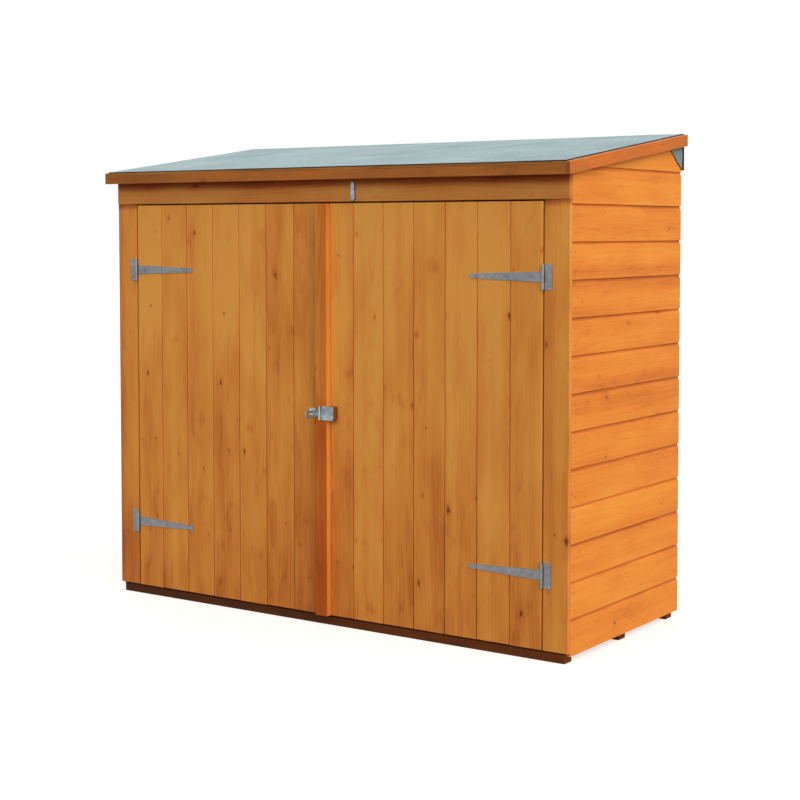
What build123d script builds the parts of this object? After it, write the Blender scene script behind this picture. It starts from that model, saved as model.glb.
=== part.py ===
"""Timber garden store for bicycles: a lean-to with two boarded doors, shiplap walls and a felted roof.

Millimetres, +Z up. The origin is on the ground under the middle of the plan, and the doors face -Y.
"""

import os
from math import atan2, cos, sin, tan

from build123d import *

os.makedirs("parts", exist_ok=True)

# Store, outside its cladding
width = 1830.0
depth = 762.0
front_height = 1500.0  # upper face of the roof boards over the front of the fascia
back_height = 1615.0  # upper face of the roof boards over the back wall

# Base
bearer_height = 28.0
bearer_width = 44.0
bearer_end_clear = 1.0  # between a bearer's end and the cladding that hangs past it
front_bearer_setback = 5.0  # behind the front of the doors
back_bearer_setback = 6.0  # before the inner face of the back wall's cladding
floor_thickness = 12.0
floor_setback = 6.0  # from the back of the doors to the floor's front edge

# Wall cladding and framing
clad_thickness = 12.0
clad_pitch = 113.0
clad_bottom = 22.0
cove_depth = 4.5
cove_height = 12.0
cove_sag_share = 0.22
post_size = 44.0
stud_thickness = 28.0
stud_face = 44.0
back_stud_spacing = 600.0

# Front frame
board_thickness = 16.0
jamb_width = 86.0
header_bottom = 1391.0
header_proud = 3.0
head_rail_height = 60.0

# Doors
door_gap = 5.0
meeting_gap = 6.0
door_board = 117.8
groove_width = 5.0
groove_depth = 2.5
ledge_thickness = 18.0
ledge_height = 94.0
ledge_inset = 34.0
brace_width = 70.0
brace_clear = 0.3
strip_width = 48.0
strip_thickness = 22.0
strip_offset = 17.0  # the cover strip's left edge, left of the middle

# T-hinges
hinge_top = 1160.0
hinge_low = 262.0
plate_height = 77.0
plate_width = 30.0
plate_thickness = 2.5
plate_corner = 3.0
strap_length = 254.0
strap_root = 32.0
strap_tip = 14.0
knuckle_radius = 5.0
knuckle_clear = 0.5
pin_radius = 2.5
pin_clear = 0.3

# Hasp and staple
hasp_height = 703.0
hasp_plate_width = 54.0
hasp_plate_height = 45.0
hasp_axis_offset = 5.0  # the hasp's pin, right of the middle
hasp_strap_length = 68.0
hasp_strap_root = 15.0
hasp_strap_end = 24.0
hasp_slot_length = 30.0
hasp_slot_height = 11.0
hasp_slot_margin = 8.0
hasp_knuckle_radius = 4.0
hasp_pin_radius = 2.0
hasp_lift = 1.0  # the closed strap's height over the cover strip
staple_wire = 5.0
staple_reach = 41.0
staple_plate_height = 24.0
staple_plate_margin = 5.0

# Turn button
button_offset = 128.0
button_pivot = 1402.0
button_length = 44.0
button_pivot_radius = 8.5
button_tip_radius = 6.5
button_thickness = 5.0
button_screw_radius = 2.4
button_screw_head = 5.0
button_head_thickness = 2.0
button_washer_radius = 7.0
button_washer_thickness = 2.0
button_clear = 0.3

# Roof
front_overhang = 43.0
side_overhang = 23.0
fascia_height = 38.0
fascia_thickness = 20.0
barge_height = 38.0
barge_thickness = 15.0
roof_board = 8.0
purlin_spacing = 300.0
felt_thickness = 3.0
felt_setback = 2.0  # from the roof boards' front edge to the felt's
felt_turn_down = 118.0
felt_ear_length = 96.0

# Planes and lines that the pieces share
half_width = width / 2
front_y = -depth / 2
back_y = depth / 2
inner_front_y = front_y + board_thickness
inner_back_y = back_y - clad_thickness
inner_half = half_width - clad_thickness
front_bottom = bearer_height + door_gap
jamb_edge = half_width - jamb_width
hinge_x = jamb_edge - door_gap / 2
door_edge = jamb_edge - door_gap
door_top = header_bottom - door_gap
door_height = door_top - front_bottom
floor_top = bearer_height + floor_thickness
fascia_front = front_y - front_overhang
fascia_back = fascia_front + fascia_thickness
deck_half = half_width + side_overhang - barge_thickness
slope = atan2(back_height - front_height, back_y - fascia_front)
roof_drop = roof_board / cos(slope)
felt_rise = felt_thickness / cos(slope)
felt_half = half_width + felt_thickness
strip_left = -strip_offset
strip_right = strip_left + strip_width
hinge_y = front_y - knuckle_radius - knuckle_clear
hasp_x = hasp_axis_offset
hasp_face = front_y - strip_thickness
hasp_y = hasp_face - hasp_knuckle_radius - hasp_lift

# Sketches on the front have X to the right and Z up, and grow outwards
front_face = Plane(origin=(0, front_y, 0), x_dir=(1, 0, 0), z_dir=(0, -1, 0))
door_back = front_face.offset(-board_thickness)
strip_face = front_face.offset(strip_thickness)
header_face = front_face.offset(header_proud)
# Sketches across the store have Y to the right and Z up, and grow towards +X
cross_section = Plane.YZ


def roof_top(y):
    """Height of the roof boards' upper face at the depth y."""
    return front_height + (y - fascia_front) * tan(slope)


def roof_under(y):
    """Height of the roof boards' lower face at the depth y."""
    return roof_top(y) - roof_drop


under_roof = Plane(
    origin=(0, back_y, roof_under(back_y)),
    x_dir=(1, 0, 0),
    z_dir=(0, -sin(slope), cos(slope)),
)


def save(block, name):
    """Labels a finished piece and writes it as one file."""
    block.part.label = name
    export_step(block.part, f"parts/{name}.step")


def across(start):
    """Plane of a cross section that starts at X = start."""
    return cross_section.offset(start)


def post_profile(y_near, y_far, foot):
    """Outline, seen from the side, of an upright that stands on foot and meets the roof boards."""
    Polygon(
        (y_near, foot),
        (y_far, foot),
        (y_far, roof_under(y_far)),
        (y_near, roof_under(y_near)),
        align=None,
    )


def sloped_profile(y_near, y_far, upper, lower):
    """Outline, seen from the side, of a board that follows the roof between two heights off its upper face."""
    Polygon(
        (y_near, roof_top(y_near) + lower),
        (y_far, roof_top(y_far) + lower),
        (y_far, roof_top(y_far) + upper),
        (y_near, roof_top(y_near) + upper),
        align=None,
    )


def shiplap_profile(top):
    """Section of a shiplap wall, inner face on the plane's Y axis: each joint has a cove below it."""
    joints = int((top - clad_bottom) / clad_pitch)
    face = clad_thickness
    scoop = clad_thickness - cove_depth
    with BuildLine() as outline:
        Line((0, clad_bottom), (face, clad_bottom))
        start = clad_bottom
        for number in range(joints):
            joint = clad_bottom + (number + 1) * clad_pitch
            Line((face, start), (face, joint - cove_height))
            SagittaArc((face, joint - cove_height), (scoop, joint), cove_sag_share * cove_height)
            Line((scoop, joint), (face, joint))
            start = joint
        Line((face, start), (face, top))
        Line((face, top), (0, top))
        Line((0, top), (0, clad_bottom))
    make_face(outline.edges())


# Bearers under the floor, front to back
front_bearer_y = front_y + front_bearer_setback + bearer_width / 2
back_bearer_y = inner_back_y - back_bearer_setback - bearer_width / 2
bearer_length = 2 * (inner_half - bearer_end_clear)
for name, bearer_y in (
    ("front_bearer", front_bearer_y),
    ("middle_bearer", 0),
    ("back_bearer", back_bearer_y),
):
    with BuildPart() as bearer:
        with BuildSketch():
            with Locations((0, bearer_y)):
                Rectangle(bearer_length, bearer_width)
        extrude(amount=bearer_height)
    save(bearer, name)

# Floor, inside the cladding
floor_front = inner_front_y + floor_setback
with BuildPart() as floor_boards:
    with BuildSketch(Plane.XY.offset(bearer_height)):
        with Locations((0, (floor_front + inner_back_y) / 2)):
            Rectangle(2 * inner_half, inner_back_y - floor_front)
    extrude(amount=floor_thickness)
save(floor_boards, "floor_boards")

# Shiplap walls, the side ones cut to the roof's slope
side_wall_length = depth - board_thickness
with BuildPart() as left_wall:
    with BuildSketch(Plane(origin=(-inner_half, inner_front_y, 0), x_dir=(-1, 0, 0), z_dir=(0, 1, 0))):
        shiplap_profile(back_height)
    extrude(amount=side_wall_length)
    split(bisect_by=under_roof, keep=Keep.BOTTOM)
save(left_wall, "left_wall_cladding")

with BuildPart() as right_wall:
    with BuildSketch(Plane(origin=(inner_half, back_y, 0), x_dir=(1, 0, 0), z_dir=(0, -1, 0))):
        shiplap_profile(back_height)
    extrude(amount=side_wall_length)
    split(bisect_by=under_roof, keep=Keep.BOTTOM)
save(right_wall, "right_wall_cladding")

with BuildPart() as back_wall:
    with BuildSketch(Plane(origin=(-inner_half, inner_back_y, 0), x_dir=(0, 1, 0), z_dir=(1, 0, 0))):
        shiplap_profile(back_height)
    extrude(amount=2 * inner_half)
    split(bisect_by=under_roof, keep=Keep.BOTTOM)
save(back_wall, "back_wall_cladding")

# Framing behind the cladding
post_inner = inner_half - post_size
front_post_back = inner_front_y + post_size
back_post_front = inner_back_y - post_size
with BuildPart() as corner_posts:
    for post_start in (-inner_half, post_inner):
        with BuildSketch(across(post_start)):
            post_profile(inner_front_y, front_post_back, floor_top)
            post_profile(back_post_front, inner_back_y, floor_top)
        extrude(amount=post_size)
save(corner_posts, "corner_posts")

rail_start = inner_half - stud_thickness
back_rail_front = inner_back_y - stud_thickness
rail_top = floor_top + stud_face
side_rail_length = back_post_front - front_post_back
side_rail_middle = (back_post_front + front_post_back) / 2
with BuildPart() as bottom_rails:
    with BuildSketch(Plane.XY.offset(floor_top)):
        for side in (-1, 1):
            with Locations((side * (inner_half - stud_thickness / 2), side_rail_middle)):
                Rectangle(stud_thickness, side_rail_length)
        with Locations((0, inner_back_y - stud_thickness / 2)):
            Rectangle(2 * post_inner, stud_thickness)
    extrude(amount=stud_face)
save(bottom_rails, "bottom_rails")

with BuildPart() as top_rails:
    for start in (-inner_half, rail_start):
        with BuildSketch(across(start)):
            sloped_profile(front_post_back, back_post_front, -roof_drop, -roof_drop - stud_face)
        extrude(amount=stud_thickness)
    with BuildSketch(across(-post_inner)):
        sloped_profile(back_rail_front, inner_back_y, -roof_drop, -roof_drop - stud_face)
    extrude(amount=2 * post_inner)
save(top_rails, "top_rails")


def stud_profile(y_near, y_far):
    """Outline, seen from the side, of an upright between the bottom and top rails."""
    Polygon(
        (y_near, rail_top),
        (y_far, rail_top),
        (y_far, roof_under(y_far) - stud_face),
        (y_near, roof_under(y_near) - stud_face),
        align=None,
    )


with BuildPart() as side_studs:
    for start in (-inner_half, rail_start):
        with BuildSketch(across(start)):
            stud_profile(-stud_face / 2, stud_face / 2)
        extrude(amount=stud_thickness)
save(side_studs, "side_wall_studs")

with BuildPart() as back_studs:
    for side in (-1, 1):
        with BuildSketch(across(side * back_stud_spacing / 2 - stud_face / 2)):
            stud_profile(back_rail_front, inner_back_y)
        extrude(amount=stud_face)
save(back_studs, "back_wall_studs")

# Front frame: a jamb beside each door, the header over them and the rail behind it
for name, side in (("left_jamb", -1), ("right_jamb", 1)):
    with BuildPart() as jamb:
        with BuildSketch(Plane.XY.offset(front_bottom)):
            with Locations((side * (half_width - jamb_width / 2), front_y + board_thickness / 2)):
                Rectangle(jamb_width, board_thickness)
        extrude(amount=header_bottom - front_bottom)
    save(jamb, name)

with BuildPart() as header:
    with BuildSketch(across(-half_width)):
        post_profile(front_y - header_proud, inner_front_y, header_bottom)
    extrude(amount=width)
save(header, "header")

with BuildPart() as head_rail:
    with BuildSketch(across(-post_inner)):
        with BuildLine():
            Polyline(
                (inner_front_y, header_bottom),
                (inner_front_y + stud_thickness, header_bottom),
                (inner_front_y + stud_thickness, header_bottom + head_rail_height),
                (inner_front_y, header_bottom + head_rail_height),
                close=True,
            )
        make_face()
    extrude(amount=2 * post_inner)
save(head_rail, "head_rail")

# Roof: boards on two purlins, the fascia under their front edge, a barge board at each end, felt over the top
with BuildPart() as roof_boards:
    with BuildSketch(across(-deck_half)):
        sloped_profile(fascia_front, back_y, 0, -roof_drop)
    extrude(amount=2 * deck_half)
save(roof_boards, "roof_boards")

with BuildPart() as purlins:
    for side in (-1, 1):
        purlin_y = side * purlin_spacing / 2
        with BuildSketch(across(-rail_start)):
            sloped_profile(
                purlin_y - stud_thickness / 2,
                purlin_y + stud_thickness / 2,
                -roof_drop,
                -roof_drop - stud_face,
            )
        extrude(amount=2 * rail_start)
save(purlins, "roof_purlins")

with BuildPart() as fascia:
    with BuildSketch(across(-deck_half)):
        sloped_profile(fascia_front, fascia_back, -roof_drop, -fascia_height)
    extrude(amount=2 * deck_half)
save(fascia, "fascia")

for name, start in (("left_barge_board", -deck_half - barge_thickness), ("right_barge_board", deck_half)):
    with BuildPart() as barge:
        with BuildSketch(across(start)):
            sloped_profile(fascia_front, back_y, 0, -barge_height)
        extrude(amount=barge_thickness)
    save(barge, name)

felt_back = back_y + felt_thickness
felt_hem = roof_top(back_y) - felt_turn_down
with BuildPart() as roof_felt:
    with BuildSketch(across(-deck_half)):
        sloped_profile(fascia_front + felt_setback, felt_back, felt_rise, 0)
    extrude(amount=2 * deck_half)
    with BuildSketch(across(-felt_half)):
        with BuildLine():
            Polyline(
                (back_y, felt_hem),
                (felt_back, felt_hem),
                (felt_back, roof_top(felt_back)),
                (back_y, roof_top(back_y)),
                close=True,
            )
        make_face()
    extrude(amount=2 * felt_half)
    for start in (-felt_half, half_width):
        with BuildSketch(across(start)):
            with BuildLine():
                Polyline(
                    (felt_back, felt_hem),
                    (felt_back, roof_top(felt_back) - barge_height),
                    (felt_back - felt_ear_length, roof_top(felt_back - felt_ear_length) - barge_height),
                    close=True,
                )
            make_face()
        extrude(amount=felt_thickness)
save(roof_felt, "roof_felt")


# Doors: grooved boards with ledges and braces behind them
def door_boards(edge_start, edge_end, grooves):
    """Section of a boarded door between two X places, with a V groove at each joint of its boards."""
    with Locations(((edge_start + edge_end) / 2, front_y + board_thickness / 2)):
        Rectangle(edge_end - edge_start, board_thickness)
    for groove in grooves:
        Polygon(
            (groove - groove_width / 2, front_y),
            (groove + groove_width / 2, front_y),
            (groove, front_y + groove_depth),
            align=None,
            mode=Mode.SUBTRACT,
        )


left_edges = (-door_edge, strip_left - meeting_gap)
right_edges = (strip_left, door_edge)
board_count = int((jamb_edge - strip_right) / door_board)
ledge_heights = (hinge_low, (hinge_low + hinge_top) / 2, hinge_top)

for name, side, (edge_start, edge_end) in (("left_door", -1, left_edges), ("right_door", 1, right_edges)):
    with BuildPart() as boards:
        with BuildSketch(Plane.XY.offset(front_bottom)):
            door_boards(
                edge_start,
                edge_end,
                [side * (jamb_edge - (number + 1) * door_board) for number in range(board_count)],
            )
        extrude(amount=door_height)
    save(boards, f"{name}_boards")

    ledge_start = edge_start + ledge_inset
    ledge_end = edge_end - ledge_inset
    with BuildPart() as ledges:
        with BuildSketch(door_back):
            for ledge_z in ledge_heights:
                with Locations(((ledge_start + ledge_end) / 2, ledge_z)):
                    Rectangle(ledge_end - ledge_start, ledge_height)
        extrude(amount=-ledge_thickness)
    save(ledges, f"{name}_ledges")

    foot_x = ledge_start if side < 0 else ledge_end
    head_x = ledge_end if side < 0 else ledge_start
    with BuildPart() as braces:
        with BuildSketch(door_back):
            for lower, upper in zip(ledge_heights[:-1], ledge_heights[1:]):
                low_z = lower + ledge_height / 2 + brace_clear
                high_z = upper - ledge_height / 2 - brace_clear
                with BuildLine():
                    Polyline(
                        (foot_x, low_z),
                        (foot_x - side * brace_width, low_z),
                        (head_x, high_z),
                        (head_x + side * brace_width, high_z),
                        close=True,
                    )
                make_face()
        extrude(amount=-ledge_thickness)
    save(braces, f"{name}_braces")

with BuildPart() as cover_strip:
    with BuildSketch(front_face):
        with Locations(((strip_left + strip_right) / 2, (front_bottom + door_top) / 2)):
            Rectangle(strip_width, door_height)
    extrude(amount=strip_thickness)
save(cover_strip, "cover_strip")

# T-hinges: a plate on the jamb carries the pin, the strap turns on it with the door
for side_name, side in (("left", -1), ("right", 1)):
    for height_name, hinge_z in (("top", hinge_top), ("low", hinge_low)):
        pin_x = side * hinge_x
        plate_foot = hinge_z - plate_height / 2
        knuckle_height = (plate_height - strap_root) / 2 - knuckle_clear
        with BuildPart() as plate:
            with BuildSketch(front_face):
                with Locations((pin_x + side * plate_width / 2, hinge_z)):
                    RectangleRounded(plate_width, plate_height, plate_corner)
                with Locations((pin_x, hinge_z)):
                    Rectangle(
                        2 * (knuckle_radius + knuckle_clear),
                        strap_root + 2 * knuckle_clear,
                        mode=Mode.SUBTRACT,
                    )
            extrude(amount=plate_thickness)
            for knuckle_foot in (plate_foot, plate_foot + plate_height - knuckle_height):
                with BuildSketch(Plane.XY.offset(knuckle_foot)):
                    with Locations((pin_x, hinge_y)):
                        Circle(knuckle_radius)
                extrude(amount=knuckle_height)
            with BuildSketch(Plane.XY.offset(plate_foot)):
                with Locations((pin_x, hinge_y)):
                    Circle(pin_radius)
            extrude(amount=plate_height)
        save(plate, f"{side_name}_{height_name}_hinge_plate")

        tip_x = pin_x - side * strap_length
        with BuildPart() as strap:
            with BuildSketch(front_face):
                with BuildLine():
                    Polyline(
                        (pin_x, hinge_z - strap_root / 2),
                        (pin_x, hinge_z + strap_root / 2),
                        (tip_x, hinge_z + strap_tip / 2),
                        (tip_x, hinge_z - strap_tip / 2),
                        close=True,
                    )
                make_face()
                with Locations((tip_x, hinge_z)):
                    Circle(strap_tip / 2)
            extrude(amount=plate_thickness)
            with BuildSketch(Plane.XY.offset(hinge_z - strap_root / 2)):
                with Locations((pin_x, hinge_y)):
                    Circle(knuckle_radius)
            extrude(amount=strap_root)
            with BuildSketch(Plane.XY.offset(hinge_z - strap_root / 2)):
                with Locations((pin_x, hinge_y)):
                    Circle(pin_radius + pin_clear)
            extrude(amount=strap_root, mode=Mode.SUBTRACT)
        save(strap, f"{side_name}_{height_name}_hinge_strap")

# Hasp on the cover strip and a packer beside it, its strap standing open, and the staple it shuts over
hasp_plate_end = hasp_x + hasp_plate_width
with BuildPart() as packer:
    with BuildSketch(front_face):
        with Locations(((strip_right + hasp_plate_end) / 2, hasp_height)):
            Rectangle(hasp_plate_end - strip_right, hasp_plate_height)
    extrude(amount=strip_thickness)
save(packer, "hasp_packer")

hasp_knuckle = hasp_strap_root + 2 * knuckle_clear
outer_knuckle = (hasp_plate_height - hasp_knuckle) / 2
hasp_foot = hasp_height - hasp_plate_height / 2
with BuildPart() as hasp_plate:
    with BuildSketch(strip_face):
        with Locations((hasp_x + hasp_plate_width / 2, hasp_height)):
            RectangleRounded(hasp_plate_width, hasp_plate_height, plate_corner)
        with Locations((hasp_x, hasp_height)):
            Rectangle(2 * (hasp_knuckle_radius + knuckle_clear), hasp_knuckle, mode=Mode.SUBTRACT)
    extrude(amount=plate_thickness)
    for knuckle_foot in (hasp_foot, hasp_foot + hasp_plate_height - outer_knuckle):
        with BuildSketch(Plane.XY.offset(knuckle_foot)):
            with Locations((hasp_x, hasp_y)):
                Circle(hasp_knuckle_radius)
        extrude(amount=outer_knuckle)
    with BuildSketch(Plane.XY.offset(hasp_foot)):
        with Locations((hasp_x, hasp_y)):
            Circle(hasp_pin_radius)
    extrude(amount=hasp_plate_height)
save(hasp_plate, "hasp_plate")

strap_end_y = hasp_y - hasp_strap_length
end_radius = hasp_strap_end / 2
slot_end = strap_end_y + hasp_slot_margin
slot_middle = slot_end + hasp_slot_length / 2
hasp_strap_face = hasp_x - hasp_knuckle_radius
with BuildPart() as hasp_strap:
    with BuildSketch(across(hasp_strap_face)):
        with BuildLine():
            Polyline(
                (hasp_y, hasp_height - hasp_strap_root / 2),
                (hasp_y, hasp_height + hasp_strap_root / 2),
                (strap_end_y + end_radius, hasp_height + end_radius),
                (strap_end_y + end_radius, hasp_height - end_radius),
                close=True,
            )
        make_face()
        with Locations((strap_end_y + end_radius, hasp_height)):
            Circle(end_radius)
        with Locations((slot_middle, hasp_height)):
            SlotOverall(hasp_slot_length, hasp_slot_height, mode=Mode.SUBTRACT)
    extrude(amount=plate_thickness)
    with BuildSketch(Plane.XY.offset(hasp_height - hasp_strap_root / 2)):
        with Locations((hasp_x, hasp_y)):
            Circle(hasp_knuckle_radius)
    extrude(amount=hasp_strap_root)
    with BuildSketch(Plane.XY.offset(hasp_height - hasp_knuckle / 2)):
        with Locations((hasp_x, hasp_y)):
            Circle(hasp_pin_radius + pin_clear)
    extrude(amount=hasp_knuckle, mode=Mode.SUBTRACT)
save(hasp_strap, "hasp_strap")

# The staple's loop stands where the closed strap's slot comes down
staple_x = hasp_x - (hasp_y - slot_middle)
staple_outer = (hasp_slot_length - hasp_slot_height) / 2
staple_inner = staple_outer - staple_wire
staple_straight = front_y - staple_reach + staple_outer
staple_plate_width = 2 * (staple_outer + staple_plate_margin)
with BuildPart() as staple:
    with BuildSketch(front_face):
        with Locations((staple_x, hasp_height)):
            RectangleRounded(staple_plate_width, staple_plate_height, plate_corner)
    extrude(amount=plate_thickness)
    with BuildSketch(Plane.XY.offset(hasp_height - staple_wire / 2)):
        for radius, mode in ((staple_outer, Mode.ADD), (staple_inner, Mode.SUBTRACT)):
            with Locations((staple_x, staple_straight)):
                Circle(radius, mode=mode)
            with Locations((staple_x, (front_y + staple_straight) / 2)):
                Rectangle(2 * radius, front_y - staple_straight, mode=mode)
    extrude(amount=staple_wire)
save(staple, "hasp_staple")

# Turn button on the header, its tail up, on a screw with a washer behind it
button_back = header_proud + button_washer_thickness + button_clear
button_front = button_back + button_thickness
with BuildPart() as turn_button:
    with BuildSketch(front_face.offset(button_back)):
        with Locations((button_offset, button_pivot)):
            Circle(button_pivot_radius)
        with Locations((button_offset, button_pivot + button_length)):
            Circle(button_tip_radius)
        make_hull()
        with Locations((button_offset, button_pivot)):
            Circle(button_screw_radius + pin_clear, mode=Mode.SUBTRACT)
    extrude(amount=button_thickness)
save(turn_button, "turn_button")

with BuildPart() as button_screw:
    with BuildSketch(header_face):
        with Locations((button_offset, button_pivot)):
            Circle(button_washer_radius)
    extrude(amount=button_washer_thickness)
    with BuildSketch(header_face):
        with Locations((button_offset, button_pivot)):
            Circle(button_screw_radius)
    extrude(amount=button_front + button_clear - header_proud)
    with BuildSketch(front_face.offset(button_front + button_clear)):
        with Locations((button_offset, button_pivot)):
            Circle(button_screw_head)
    extrude(amount=button_head_thickness)
save(button_screw, "turn_button_screw")
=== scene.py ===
"""Looks of a timber bike store: every board, hinge and sheet of felt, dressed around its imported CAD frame.

Metres, +Z up, in the frame's own axes: the doors face -Y and the store stands on Z = 0.
"""

import logging
import math
import random
from collections.abc import Callable, Iterator, Sequence
from contextlib import contextmanager
from dataclasses import dataclass, field
from enum import Enum
from functools import partial
from itertools import pairwise

import bmesh
import bpy
import numpy as np
from mathutils import Matrix, Vector


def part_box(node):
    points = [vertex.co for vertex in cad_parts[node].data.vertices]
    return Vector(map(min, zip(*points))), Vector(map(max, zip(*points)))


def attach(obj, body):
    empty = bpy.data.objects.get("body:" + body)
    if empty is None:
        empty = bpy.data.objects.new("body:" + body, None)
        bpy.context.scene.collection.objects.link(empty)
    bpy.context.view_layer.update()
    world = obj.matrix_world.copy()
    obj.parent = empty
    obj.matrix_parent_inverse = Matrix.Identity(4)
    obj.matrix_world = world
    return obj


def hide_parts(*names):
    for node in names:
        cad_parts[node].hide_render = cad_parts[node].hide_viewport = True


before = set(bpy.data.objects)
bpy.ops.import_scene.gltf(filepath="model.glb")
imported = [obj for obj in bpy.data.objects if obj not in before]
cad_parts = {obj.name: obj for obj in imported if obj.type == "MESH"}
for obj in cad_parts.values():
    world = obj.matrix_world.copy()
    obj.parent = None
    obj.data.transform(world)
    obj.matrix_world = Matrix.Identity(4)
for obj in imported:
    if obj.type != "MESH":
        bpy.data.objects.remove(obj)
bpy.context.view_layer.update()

log = logging.getLogger("bike_store")

MM = 0.001

# How close points lie that count as one, and how close to a plane an edge lies that counts as on it
MERGE = 0.01 * MM
NEAR = 1 * MM

WORLD_X = Vector((1.0, 0.0, 0.0))
WORLD_Y = Vector((0.0, 1.0, 0.0))
WORLD_Z = Vector((0.0, 0.0, 1.0))

# Least cosine of the angle between a direction and an axis that it counts as following
STRAIGHT = 0.99

# Degrees: the most between facets of one flat face, and from level to upright
FLAT_ANGLE = 0.5
UPRIGHT = 90.0

# Where boards are sawn from a tree: how far to a side of its heart, along a run of trunks, and out from it
HEART_ASIDE = 60 * MM
TRUNK_RUN = 40.0
HEART_DEPTHS = (25 * MM, 90 * MM)

# The sRGB curve: a straight foot, and a power above it
SRGB_FULL = 255
SRGB_FOOT = 0.04045
SRGB_SLOPE = 12.92
SRGB_OFFSET = 0.055
SRGB_POWER = 2.4

WHITE = "#FFFFFF"

# The value that noise swings about
NOISE_MIDDLE = 0.5

Piece = bpy.types.Object
Material = bpy.types.Material
Tree = bpy.types.NodeTree
Socket = bpy.types.NodeSocket
Stain = Callable[[np.ndarray], np.ndarray]


class Body(Enum):
    """Bodies of the frame that a piece can ride on."""

    STORE = "store"
    LEFT_DOOR = "left_door"
    RIGHT_DOOR = "right_door"
    HASP = "hasp"
    TURN_BUTTON = "turn_button"


class Slot(Enum):
    """Material slots of the record."""

    SHIPLAP = "shiplap_softwood"
    DOOR = "door_softwood"
    TRIM = "trim_softwood"
    FRAMING = "framing_softwood"
    BEARER = "bearer_timber"
    FELT = "mineral_felt"
    STEEL = "galvanised_steel"


class Side(Enum):
    """Left and right of the store, as seen from the front, by the sign of X."""

    LEFT = -1
    RIGHT = 1

    @property
    def word(self) -> str:
        """The side's name as the nodes spell it."""
        return self.name.lower()


# Colours and shader nodes


def linear(colour: str) -> tuple[float, float, float, float]:
    """Turns an sRGB hex colour to linear RGBA.

    Args:
        colour: Six hex digits after a hash.

    Returns:
        Red, green, blue and an alpha of one, for a shader socket.
    """
    red, green, blue = (
        share / SRGB_SLOPE
        if share <= SRGB_FOOT
        else ((share + SRGB_OFFSET) / (1 + SRGB_OFFSET)) ** SRGB_POWER
        for share in (level / SRGB_FULL for level in bytes.fromhex(colour[1:]))
    )
    return red, green, blue, 1.0


def add_node(
    tree: Tree, kind: str, inputs: dict[int | str, object], out: int | str = 0, **settings: object
) -> Socket | None:
    """Adds one node, sets it up and links it.

    Args:
        tree: The node tree that gets the node.
        kind: The node's type, without its ShaderNode prefix.
        inputs: Socket names or numbers, each with a value or with the output that feeds it.
        out: The output that is handed back.
        settings: The node's own properties, and stops for a colour ramp's places and colours.

    Returns:
        The chosen output socket, or nothing from a node that has none.
    """
    node = tree.nodes.new("ShaderNode" + kind)
    stops = settings.pop("stops", ())
    for name, value in settings.items():
        setattr(node, name, value)
    for number, (place, colour) in enumerate(stops):
        ramp = node.color_ramp.elements
        stop = ramp[number] if number < len(ramp) else ramp.new(place)
        stop.position = place
        stop.color = colour
    for name, value in inputs.items():
        if isinstance(value, Socket):
            tree.links.new(value, node.inputs[name])
        else:
            node.inputs[name].default_value = value
    return node.outputs[out] if node.outputs else None


def new_material(name: str) -> tuple[Material, Tree]:
    """Makes an empty node material.

    Args:
        name: The material's name.

    Returns:
        The material, and its node tree.
    """
    material = bpy.data.materials.new(name)
    material.use_nodes = True
    material.node_tree.nodes.clear()
    return material, material.node_tree


@dataclass(frozen=True)
class Streaks:
    """A pattern that is long with the grain: its two lengths, detail and weight in the stain's depth."""

    across: float
    along: float
    detail: float
    weight: float = 0.0
    roughness: float = 0.55

    def add(self, tree: Tree, place: Socket) -> Socket:
        """Adds the pattern to a material.

        Args:
            tree: The material's nodes.
            place: Where a board's points lie in their log.

        Returns:
            The pattern, as noise about zero.
        """
        scale = (1 / self.across, 1 / self.along, 1 / self.across)
        stretched = add_node(tree, "VectorMath", {0: place, 1: scale}, operation="MULTIPLY")
        settings = {"Vector": stretched, "Scale": 1.0, "Detail": self.detail, "Roughness": self.roughness}
        noise = add_node(tree, "TexNoise", settings)
        return add_node(tree, "Math", {0: noise, 1: NOISE_MIDDLE}, operation="SUBTRACT")


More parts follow.
